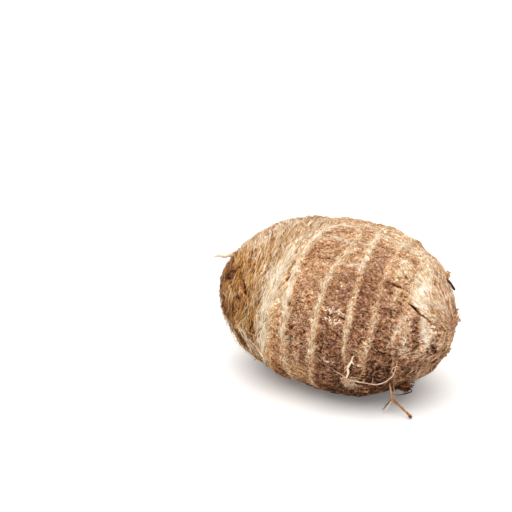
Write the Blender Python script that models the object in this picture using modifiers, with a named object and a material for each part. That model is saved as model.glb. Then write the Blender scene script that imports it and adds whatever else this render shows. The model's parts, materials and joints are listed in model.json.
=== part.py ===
"""A small taro corm (an eddoe) lying on its side, with the dry roots and husk flakes still on it.

The corm is one grown solid: an egg-like barrel on a slightly bent axis, ringed by old leaf scars.
It rests on a flattened belly at z = 0.  +X runs along the corm towards its scarred end, both ends
swing towards +Y, and +Z is up.  Sizes are in metres.
"""

import math

import bmesh
import bpy
import numpy as np
from mathutils import Vector

MM = 0.001

# The corm's body
CORM_LENGTH = 90 * MM  # from the shaggy crown to the scarred end
CORM_RADIUS = 30.9 * MM  # of the widest cross section
WIDEST_AT = 0.27  # where that section is: -1 is the crown, +1 is the scarred end
CROWN_FULLNESS = (2.65, 2.0)  # exponents of the blunt outline on the crown's side
SCAR_FULLNESS = (1.6, 1.9)  # exponents of the more pointed outline on the scar's side
AXIS_PITCH = math.radians(-3.0)  # the scarred end lies a little lower than the crown
AXIS_BEND = 6.5 * MM  # how far each end swings towards +Y
BELLY_FLAT = 1.4 * MM  # how much of the underside is flattened where the corm lies
FACES_AROUND = 44
FACES_ALONG = 64

# Leaf scars: low rings round the body, whose planes lean a little against the axis
RING_PLACES = (-0.72, -0.55, -0.38, -0.21, -0.08, 0.16, 0.36, 0.52, 0.68)
RING_HEIGHT = 0.5 * MM
RING_WIDTH = 0.03  # as a part of half the length
RING_LEAN = (math.radians(-6.0), math.radians(4.5))  # at the middle, and added at the scarred end
RING_TURN = (math.radians(-2.4), math.radians(2.6))

# Roots, which lie or stand a little clear of the skin
SKIN_GAP = 0.35 * MM
TRAILING_RADIUS = 0.3 * MM
STUB_RADIUS = 0.45 * MM
SIDE_RADIUS = 0.5 * MM
STEM_RADIUS = 0.35 * MM
LEG_RADIUS = 0.55 * MM
THIN_LEG_RADIUS = 0.22 * MM
TIP_RADIUS = 0.7 * MM

# Husk flakes
FLAKE_THICKNESS = 0.4 * MM

BARK_BROWN = (0.25, 0.12, 0.07)
ROOT_OCHRE = (0.26, 0.14, 0.05)
ROOT_CREAM = (0.62, 0.46, 0.28)
HUSK_BROWN = (0.16, 0.07, 0.035)


def clear_scene():
    """Remove everything that the scene starts with."""
    for obj in list(bpy.data.objects):
        bpy.data.objects.remove(obj, do_unlink=True)


def new_collection(name, hidden=False):
    """A collection linked to the scene."""
    collection = bpy.data.collections.new(name)
    collection.hide_render = hidden
    bpy.context.scene.collection.children.link(collection)
    return collection


def make_material(name, colour, roughness):
    """A plain Principled material."""
    material = bpy.data.materials.new(name)
    material.use_nodes = True
    shader = material.node_tree.nodes["Principled BSDF"]
    shader.inputs["Base Color"].default_value = (*colour, 1.0)
    shader.inputs["Roughness"].default_value = roughness
    shader.inputs["Metallic"].default_value = 0.0
    return material


def unit(vectors):
    """The same directions at length one."""
    return vectors / np.linalg.norm(vectors, axis=-1, keepdims=True)


def body_radius(along):
    """Radius of the section at -1 (crown) to +1 (scarred end): a superellipse to each side."""
    to_crown = (WIDEST_AT - along) / (WIDEST_AT + 1)
    to_scar = (along - WIDEST_AT) / (1 - WIDEST_AT)
    crown_side = along < WIDEST_AT
    reach = np.clip(np.where(crown_side, to_crown, to_scar), 0, 1)
    power = np.where(crown_side, CROWN_FULLNESS[0], SCAR_FULLNESS[0])
    root = np.where(crown_side, CROWN_FULLNESS[1], SCAR_FULLNESS[1])
    return CORM_RADIUS * np.clip(1 - reach**power, 0, 1) ** (1 / root)


def ring_ridges(along):
    """How far the leaf scars stand out of the body."""
    from_ring = (along[..., None] - np.array(RING_PLACES)) / RING_WIDTH
    return RING_HEIGHT * np.exp(-(from_ring**2)).sum(axis=-1)


def free_skin(along, around):
    """Skin points, before the corm is set down. around is 0 on top and grows towards -Y."""
    forward = np.array([math.cos(AXIS_PITCH), 0, math.sin(AXIS_PITCH)])
    side = np.array([0.0, -1.0, 0.0])
    upward = np.cross(side, forward)
    step = np.asarray(along, float)[..., None]
    turn = np.asarray(around, float)[..., None]
    centre = forward * CORM_LENGTH / 2 * step - side * AXIS_BEND * step**2
    tangent = unit(forward * CORM_LENGTH / 2 - side * 2 * AXIS_BEND * step)
    lean = np.tan(RING_LEAN[0] + RING_LEAN[1] * step)
    swing = np.tan(RING_TURN[0] + RING_TURN[1] * step)
    normal = unit(tangent + upward * lean + side * swing)
    sideways = unit(np.cross(normal, upward))
    section_up = np.cross(sideways, normal)
    ends = np.clip((1 - step**2) * 8, 0, 1)
    radius = body_radius(step) + ring_ridges(step[..., 0])[..., None] * ends
    return centre + radius * (sideways * np.sin(turn) + section_up * np.cos(turn))


def resting_shift():
    """The move that centres the corm on Z and sinks its belly to the flattening depth."""
    along, around = np.meshgrid(np.linspace(-1, 1, 241), np.linspace(0, math.tau, 361))
    points = free_skin(along, around).reshape(-1, 3)
    middle = (points.min(axis=0) + points.max(axis=0)) / 2
    return np.array([-middle[0], -middle[1], -points[:, 2].min() - BELLY_FLAT])


SHIFT = resting_shift()


def skin_point(along, around):
    """Skin points of the resting corm."""
    return free_skin(along, around) + SHIFT


def above_skin(along, degrees, lift):
    """A point over the skin, lift away from it along its outward normal."""
    around = math.radians(degrees)
    here = skin_point(along, around)
    small = 0.002
    ahead = skin_point(along + small, around) - skin_point(along - small, around)
    across = skin_point(along, around + small) - skin_point(along, around - small)
    outward = unit(np.cross(across, ahead))
    return Vector(here + outward * lift), Vector(outward)


def make_corm(parts, cutters, material):
    """The corm: a sphere pulled into the body's shape, with its belly cut flat at z = 0."""
    mesh = bpy.data.meshes.new("corm")
    shape = bmesh.new()
    bmesh.ops.create_uvsphere(
        shape, u_segments=FACES_AROUND, v_segments=FACES_ALONG, radius=1.0
    )
    sphere = np.array([vertex.co for vertex in shape.verts])
    skin = skin_point(sphere[:, 2], np.arctan2(sphere[:, 0], sphere[:, 1]))
    for vertex, place in zip(shape.verts, skin):
        vertex.co = Vector(place)
    bmesh.ops.recalc_face_normals(shape, faces=shape.faces)
    shape.to_mesh(mesh)
    shape.free()
    mesh.shade_smooth()
    mesh.materials.append(material)
    corm = bpy.data.objects.new("corm", mesh)
    parts.objects.link(corm)

    depth = 10 * MM
    box = bpy.data.meshes.new("belly_cutter")
    shape = bmesh.new()
    bmesh.ops.create_cube(shape, size=1.0)
    bmesh.ops.scale(shape, vec=(2 * CORM_LENGTH, 2 * CORM_LENGTH, depth), verts=shape.verts)
    bmesh.ops.translate(shape, vec=(0, 0, -depth / 2), verts=shape.verts)
    shape.to_mesh(box)
    shape.free()
    cutter = bpy.data.objects.new("belly_cutter", box)
    cutter.display_type = "WIRE"
    cutter.hide_render = True
    cutters.objects.link(cutter)
    flatten = corm.modifiers.new("flat belly", "BOOLEAN")
    flatten.operation = "DIFFERENCE"
    flatten.solver = "EXACT"
    flatten.object = cutter
    return corm


def smooth_path(points, per_span=4):
    """Points on a Catmull-Rom curve through the given ones."""
    knots = [points[0], *points, points[-1]]
    path = []
    for before, start, end, after in zip(knots, knots[1:], knots[2:], knots[3:]):
        for step in range(per_span):
            t = step / per_span
            path.append(
                0.5
                * (
                    2 * start
                    + (end - before) * t
                    + (2 * before - 5 * start + 4 * end - after) * t**2
                    + (3 * start - before - 3 * end + after) * t**3
                )
            )
    return [*path, points[-1]]


def make_root(name, collection, points, radii, material):
    """A dry root: a round tube along a smooth path, tapering evenly between the given radii."""
    path = smooth_path(points)
    curve = bpy.data.curves.new(name, "CURVE")
    curve.dimensions = "3D"
    curve.bevel_depth = 1.0
    curve.bevel_resolution = 2
    curve.use_fill_caps = True
    spline = curve.splines.new("POLY")
    spline.points.add(len(path) - 1)
    stations = np.linspace(0, 1, len(path))
    widths = np.interp(stations, np.linspace(0, 1, len(radii)), radii)
    for point, place, width in zip(spline.points, path, widths):
        point.co = (*place, 1.0)
        point.radius = width
    curve.materials.append(material)
    root = bpy.data.objects.new(name, curve)
    collection.objects.link(root)
    return root


def as_mesh(obj, collection):
    """The curve object as a mesh object of the same name, with its end caps welded on."""
    graph = bpy.context.evaluated_depsgraph_get()
    mesh = bpy.data.meshes.new_from_object(obj.evaluated_get(graph))
    shape = bmesh.new()
    shape.from_mesh(mesh)
    bmesh.ops.remove_doubles(shape, verts=shape.verts, dist=0.001 * MM)
    bmesh.ops.recalc_face_normals(shape, faces=shape.faces)
    shape.to_mesh(mesh)
    shape.free()
    name = obj.name
    place = obj.matrix_world.copy()
    bpy.data.objects.remove(obj, do_unlink=True)
    result = bpy.data.objects.new(name, mesh)
    result.matrix_world = place
    collection.objects.link(result)
    return result


def join(target, tool):
    """Grow the tool onto the target with a Boolean union."""
    tool.display_type = "WIRE"
    tool.hide_render = True
    union = target.modifiers.new(tool.name, "BOOLEAN")
    union.operation = "UNION"
    union.solver = "EXACT"
    union.object = tool


def make_trailing_root(parts, material):
    """The thin root that follows the skin round the underside."""
    route = (
        (0.335, 112),
        (0.393, 117),
        (0.438, 119),
        (0.495, 122),
        (0.573, 126),
        (0.630, 128),
        (0.660, 127),
        (0.688, 121),
        (0.713, 114),
        (0.725, 108),
    )
    lift = 2 * SKIN_GAP + TRAILING_RADIUS
    points = [above_skin(along, degrees, lift)[0] for along, degrees in route]
    taper = (TRAILING_RADIUS * 0.7, TRAILING_RADIUS, TRAILING_RADIUS, TRAILING_RADIUS * 0.6)
    make_root("trailing_root", parts, points, taper, material)


def make_root_stub(parts, material):
    """The short, stouter root that lies down the side above the trailing root."""
    route = ((0.425, 98), (0.420, 103), (0.413, 109), (0.405, 113))
    lift = 2 * SKIN_GAP + STUB_RADIUS
    points = [above_skin(along, degrees, lift)[0] for along, degrees in route]
    taper = (STUB_RADIUS, STUB_RADIUS * 0.9, STUB_RADIUS * 0.7)
    make_root("root_stub", parts, points, taper, material)


def make_side_root(parts, material):
    """The pale root that leaves the crown's shoulder sideways, almost level."""
    start, outward = above_skin(-0.867, 48, SKIN_GAP + SIDE_RADIUS)
    reach = Vector((-3.9, -6.4, -0.2)) * MM
    wave = Vector((0, 0, 0.4)) * MM
    points = [
        start,
        start + reach * 0.3 + outward * 0.3 * MM,
        start + reach * 0.65 + wave,
        start + reach,
    ]
    taper = (SIDE_RADIUS, SIDE_RADIUS, SIDE_RADIUS * 0.8, SIDE_RADIUS * 0.45)
    make_root("side_root", parts, points, taper, material)


def make_forked_root(parts, cutters, material):
    """The root that hangs from the underside and forks just above the surface."""
    start, outward = above_skin(0.655, 136, SKIN_GAP + STEM_RADIUS)
    fork = Vector((start.x + 0.9 * MM, start.y - 0.2 * MM, 5.6 * MM))
    tip = Vector((fork.x + 7.7 * MM, fork.y + 0.1 * MM, TIP_RADIUS + 0.1 * MM))
    thin_tip = Vector((fork.x - 3.7 * MM, fork.y + 0.5 * MM, THIN_LEG_RADIUS + 0.2 * MM))

    main = make_root(
        "forked_root",
        parts,
        [
            start,
            start.lerp(fork, 0.35) + outward * 0.4 * MM,
            start.lerp(fork, 0.7) + outward * 0.2 * MM,
            fork,
            fork.lerp(tip, 0.4) + Vector((0, 0, 0.3 * MM)),
            tip,
        ],
        (STEM_RADIUS, STEM_RADIUS, STEM_RADIUS, LEG_RADIUS, LEG_RADIUS, LEG_RADIUS * 0.8),
        material,
    )
    main = as_mesh(main, parts)
    thin_leg = make_root(
        "thin_leg",
        cutters,
        [fork, fork.lerp(thin_tip, 0.5) + Vector((0, 0, 0.3 * MM)), thin_tip],
        (THIN_LEG_RADIUS, THIN_LEG_RADIUS, THIN_LEG_RADIUS * 0.7),
        material,
    )
    join(main, as_mesh(thin_leg, cutters))

    knob_mesh = bpy.data.meshes.new("tip_knob")
    shape = bmesh.new()
    bmesh.ops.create_icosphere(shape, subdivisions=2, radius=TIP_RADIUS)
    bmesh.ops.translate(shape, vec=tip, verts=shape.verts)
    shape.to_mesh(knob_mesh)
    shape.free()
    knob = bpy.data.objects.new("tip_knob", knob_mesh)
    cutters.objects.link(knob)
    join(main, knob)


def make_flake(name, parts, place, heading, length, width, curl, material):
    """A husk flake: a thin leaf rooted over the skin, lifting off towards its free end.

    place is (along, degrees around), and heading is the way that its free end points.
    """
    start, outward = above_skin(place[0], place[1], 2 * SKIN_GAP)
    ahead = Vector(heading)
    ahead = (ahead - outward * ahead.dot(outward)).normalized()
    across = outward.cross(ahead)
    mesh = bpy.data.meshes.new(name)
    shape = bmesh.new()
    bmesh.ops.create_grid(shape, x_segments=6, y_segments=4, size=1.0)
    for vertex in shape.verts:
        run = (vertex.co.x + 1) / 2
        half_width = width / 2 * (0.4 + 0.6 * math.sin(math.pi * run**0.8))
        lift = curl * run**2 + 0.15 * width * vertex.co.y**2 * run
        vertex.co = (
            start + ahead * length * run + across * half_width * vertex.co.y + outward * lift
        )
    bmesh.ops.recalc_face_normals(shape, faces=shape.faces)
    shape.faces.ensure_lookup_table()
    if shape.faces[0].normal.dot(outward) < 0:
        bmesh.ops.reverse_faces(shape, faces=shape.faces)
    shape.to_mesh(mesh)
    shape.free()
    mesh.materials.append(material)
    flake = bpy.data.objects.new(name, mesh)
    parts.objects.link(flake)
    thick = flake.modifiers.new("thickness", "SOLIDIFY")
    thick.thickness = FLAKE_THICKNESS
    thick.offset = 1.0


def main():
    clear_scene()
    parts = new_collection("taro_root")
    cutters = new_collection("cutters", hidden=True)
    bark = make_material("corm_skin", BARK_BROWN, 0.85)
    ochre = make_material("ochre_root", ROOT_OCHRE, 0.6)
    cream = make_material("cream_root", ROOT_CREAM, 0.7)
    husk = make_material("dry_husk", HUSK_BROWN, 0.8)

    make_corm(parts, cutters, bark)
    make_trailing_root(parts, cream)
    make_root_stub(parts, cream)
    make_side_root(parts, cream)
    make_forked_root(parts, cutters, ochre)
    make_flake(
        "end_flake", parts, (0.84, 328), (0.3, 0.5, -0.8), 5 * MM, 3 * MM, 0.4 * MM, husk
    )
    make_flake(
        "side_flake", parts, (0.985, 290), (0.4, 0.6, -0.6), 3.5 * MM, 3 * MM, 0.8 * MM, husk
    )
    make_flake(
        "ragged_flake", parts, (0.69, 158), (0.9, -0.2, 0.2), 5 * MM, 4.5 * MM, 1.6 * MM, husk
    )


main()
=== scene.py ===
# %% [markdown]
# # A small taro root
# A taro root is a corm: a swollen underground stem. Each leaf it once carried has left a ring of dry
# fibre round it, and between the rings the bark is a matted, scurfy brown. One end still wears a shaggy
# coat of leaf-base fibre, the other is bleached and cracked where it dried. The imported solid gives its
# size and place, so that is loaded first, and everything below is grown on top of it.

# %% Load the fixed frame
import json
import math

import bpy
import numpy as np
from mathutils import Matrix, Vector

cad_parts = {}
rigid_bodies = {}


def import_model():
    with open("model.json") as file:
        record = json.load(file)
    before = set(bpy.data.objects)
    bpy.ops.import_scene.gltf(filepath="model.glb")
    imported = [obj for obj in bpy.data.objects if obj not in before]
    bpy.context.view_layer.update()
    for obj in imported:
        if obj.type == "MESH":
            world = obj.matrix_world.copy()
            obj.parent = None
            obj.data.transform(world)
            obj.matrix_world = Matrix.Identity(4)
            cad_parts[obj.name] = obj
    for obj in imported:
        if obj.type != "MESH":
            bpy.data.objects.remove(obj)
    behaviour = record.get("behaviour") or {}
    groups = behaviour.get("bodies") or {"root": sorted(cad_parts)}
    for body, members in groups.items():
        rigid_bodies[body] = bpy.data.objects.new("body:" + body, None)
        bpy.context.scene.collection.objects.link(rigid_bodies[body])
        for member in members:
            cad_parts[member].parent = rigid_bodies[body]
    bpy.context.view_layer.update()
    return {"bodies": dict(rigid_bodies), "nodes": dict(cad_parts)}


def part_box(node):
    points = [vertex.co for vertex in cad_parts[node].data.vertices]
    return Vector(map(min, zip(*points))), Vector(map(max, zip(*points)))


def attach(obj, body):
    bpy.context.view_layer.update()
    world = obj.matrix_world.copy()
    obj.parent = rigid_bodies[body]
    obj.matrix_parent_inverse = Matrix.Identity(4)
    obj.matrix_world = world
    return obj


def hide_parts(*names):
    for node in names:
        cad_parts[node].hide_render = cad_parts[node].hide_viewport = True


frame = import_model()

MM = 0.001
TAU = 2 * math.pi
print("nodes:", ", ".join(sorted(frame["nodes"])))

# %% [markdown]
# ## Where things are on a root
# A place on the bark is given by two numbers: how far along the root it is, from -1 at the shaggy crown
# to +1 at the scarred end, and how far round, in degrees from the top down the near side. The body is a
# row of circles on a slightly bent axis, so these two numbers give a point by one formula, and every
# ring, crack and hair can be placed by it.

# %% The body's measurements
CORM_LENGTH = 90 * MM
CORM_RADIUS = 30.9 * MM  # of the widest circle
WIDEST_AT = 0.27
CROWN_FULLNESS = (2.65, 2.0)  # exponents of the blunt outline on the crown's side
SCAR_FULLNESS = (1.6, 1.9)  # exponents of the more pointed outline on the other side
AXIS_PITCH = math.radians(-3.0)
AXIS_BEND = 6.5 * MM  # how far each end swings towards +Y
RING_LEAN = (math.radians(-6.0), math.radians(4.5))
RING_TURN = (math.radians(-2.4), math.radians(2.6))
RING_HEIGHT = 0.5 * MM
BELLY = 0.05 * MM  # the lowest that any part of the root comes


def unit(vectors):
    """The same directions at length one."""
    return vectors / np.maximum(np.linalg.norm(vectors, axis=-1, keepdims=True), 1e-12)


def body_radius(along):
    """The circle's radius: R * (1 - reach**p) ** (1/q), reach going from 0 at the widest to 1 at both
    ends."""
    to_crown = (WIDEST_AT - along) / (WIDEST_AT + 1)
    to_scar = (along - WIDEST_AT) / (1 - WIDEST_AT)
    crown_side = along < WIDEST_AT
    reach = np.clip(np.where(crown_side, to_crown, to_scar), 0, 1)
    power = np.where(crown_side, CROWN_FULLNESS[0], SCAR_FULLNESS[0])
    root = np.where(crown_side, CROWN_FULLNESS[1], SCAR_FULLNESS[1])
    return CORM_RADIUS * np.clip(1 - reach**power, 0, 1) ** (1 / root)


def bare_body(along, around):
    """Centre of the bent axis at `along`, plus radius * (side * sin(around) + up * cos(around))."""
    forward = np.array([math.cos(AXIS_PITCH), 0, math.sin(AXIS_PITCH)])
    side = np.array([0.0, -1.0, 0.0])
    upward = np.cross(side, forward)
    step = np.asarray(along, float)[..., None]
    turn = np.asarray(around, float)[..., None]
    centre = forward * CORM_LENGTH / 2 * step - side * AXIS_BEND * step**2
    tangent = unit(forward * CORM_LENGTH / 2 - side * 2 * AXIS_BEND * step)
    lean = np.tan(RING_LEAN[0] + RING_LEAN[1] * step)
    swing = np.tan(RING_TURN[0] + RING_TURN[1] * step)
    normal = unit(tangent + upward * lean + side * swing)
    sideways = unit(np.cross(normal, upward))
    section_up = np.cross(sideways, normal)
    return centre + body_radius(step) * (sideways * np.sin(turn) + section_up * np.cos(turn))


# %% The grid of places that the bark is worked out on
ROWS = 240  # from the crown to the scarred end, closer together towards the ends
COLUMNS = 400
row_along = -np.cos(np.linspace(0, math.pi, ROWS + 1))
column_around = np.arange(COLUMNS) * TAU / COLUMNS
ALONG, AROUND = np.meshgrid(row_along, column_around, indexing="ij")
DEGREES = np.degrees(AROUND)

bare = bare_body(ALONG, AROUND)
low, high = (np.array(corner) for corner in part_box("corm"))
bare_low, bare_high = bare.min(axis=(0, 1)), bare.max(axis=(0, 1))
shift = (low + high - bare_low - bare_high) / 2
shift[2] = high[2] - RING_HEIGHT - bare_high[2]
bare += shift
step_along = np.gradient(bare, axis=0)
step_around = np.roll(bare, -1, axis=1) - np.roll(bare, 1, axis=1)
OUTWARD = unit(np.cross(step_around, step_along))
axis = unit(bare[-1, 0] - bare[0, 0])
OUTWARD[0], OUTWARD[-1] = -axis, axis
print("moved onto the solid by, in mm:", np.round(shift / MM, 2))

# %% [markdown]
# ## Putting worked-out shapes into Blender
# Everything here is computed as whole arrays: corner places, then faces as lists of corner numbers. One
# function hands them to Blender with the flat map that each face uses for its colour pattern. Patterns
# are made of nodes, so one more function adds a node with its settings and its links in one line.

# %% Meshes, nodes and colours
BODY = next(iter(frame["bodies"]))


def make_piece(name, points, faces, maps, material, slot, replaces=()):
    """A smooth-shaded mesh on the root. faces and maps are lists of arrays: (count, corners) corner
    numbers, and (count, corners, 2) places on the colour map."""
    mesh = bpy.data.meshes.new(name)
    loops = np.concatenate([face.ravel() for face in faces])
    sizes = np.concatenate([np.full(len(face), face.shape[1]) for face in faces])
    mesh.vertices.add(len(points))
    mesh.vertices.foreach_set("co", np.asarray(points, np.float32).ravel())
    mesh.loops.add(len(loops))
    mesh.loops.foreach_set("vertex_index", loops.astype(np.int32))
    mesh.polygons.add(len(sizes))
    starts = np.concatenate([[0], np.cumsum(sizes)[:-1]])
    mesh.polygons.foreach_set("loop_start", starts.astype(np.int32))
    mesh.update(calc_edges=True)
    layer = mesh.uv_layers.new(name="OFBake")
    places = np.concatenate([place.reshape(-1, 2) for place in maps])
    layer.uv.foreach_set("vector", places.astype(np.float32).ravel())
    mesh.shade_smooth()
    mesh.materials.append(material)
    mesh.validate()
    piece = bpy.data.objects.new(name, mesh)
    bpy.context.scene.collection.objects.link(piece)
    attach(piece, BODY)
    if replaces:
        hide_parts(*replaces)
    triangles = int((sizes - 2).sum())
    print(f"{name}: {len(points):,} corners, {triangles:,} triangles")
    return piece


def linear(colour):
    """An sRGB hex colour as linear red, green, blue and an alpha of 1."""
    parts = [int(colour[i : i + 2], 16) / 255 for i in (1, 3, 5)]
    return (*[c / 12.92 if c <= 0.04045 else ((c + 0.055) / 1.055) ** 2.4 for c in parts], 1.0)


def new_material(name):
    """A material with its node tree, and the Principled shader in it."""
    material = bpy.data.materials.new(name)
    material.use_nodes = True
    return material, material.node_tree, material.node_tree.nodes["Principled BSDF"]


def add_node(tree, kind, inputs=None, **settings):
    """A node of this kind. inputs maps a socket's name or number to a value, or to the output it is
    linked from."""
    node = tree.nodes.new(kind)
    for key, value in settings.items():
        setattr(node, key, value)
    for key, value in (inputs or {}).items():
        if isinstance(value, bpy.types.NodeSocket):
            tree.links.new(value, node.inputs[key])
        else:
            node.inputs[key].default_value = value
    return node


def colour_stops(ramp, stops):
    """Set a colour ramp's stops from (place, hex colour) pairs."""
    elements = ramp.color_ramp.elements
    while len(elements) < len(stops):
        elements.new(0.5)
    for element, (place, colour) in zip(elements, stops):
        element.position = place
        element.color = linear(colour)
    return ramp.outputs["Color"]

# %% [markdown]
# ## What has marked the bark
# A corm's bark is read from its marks: the crown's coat is golden, the bark between the rings a redder
# brown, the top is painted paler as painted light from above, and the belly is darker, partly with soil
# and partly as painted shade. Hollows, cracks and pits are painted dark as painted shade in them. Each
# broad or small mark is a soft oval, and each ring, streak or crack is a stroke along a short route. Both
# are given a tone, from 0 for the darkest brown to 1 for bleached cream, a redness, and how far they rise
# above the bark. Painting them in order over the whole bark gives three numbers at every place, which the
# bark's own colour and shape use, and every hair laid on it too.

# %% The ground tones, from the crown to the scarred end
GROUND = (  # along, tone, redness
    (-1, 0.5, 0.35), (-0.6, 0.58, 0.12), (-0.34, 0.64, 0.1), (-0.18, 0.66, 0.45), (-0.11, 0.6, 0.65),
    (-0.04, 0.57, 0.75), (0.3, 0.54, 0.8), (0.66, 0.54, 0.75), (0.73, 0.66, 0.8), (1, 0.68, 0.75),
)
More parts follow.
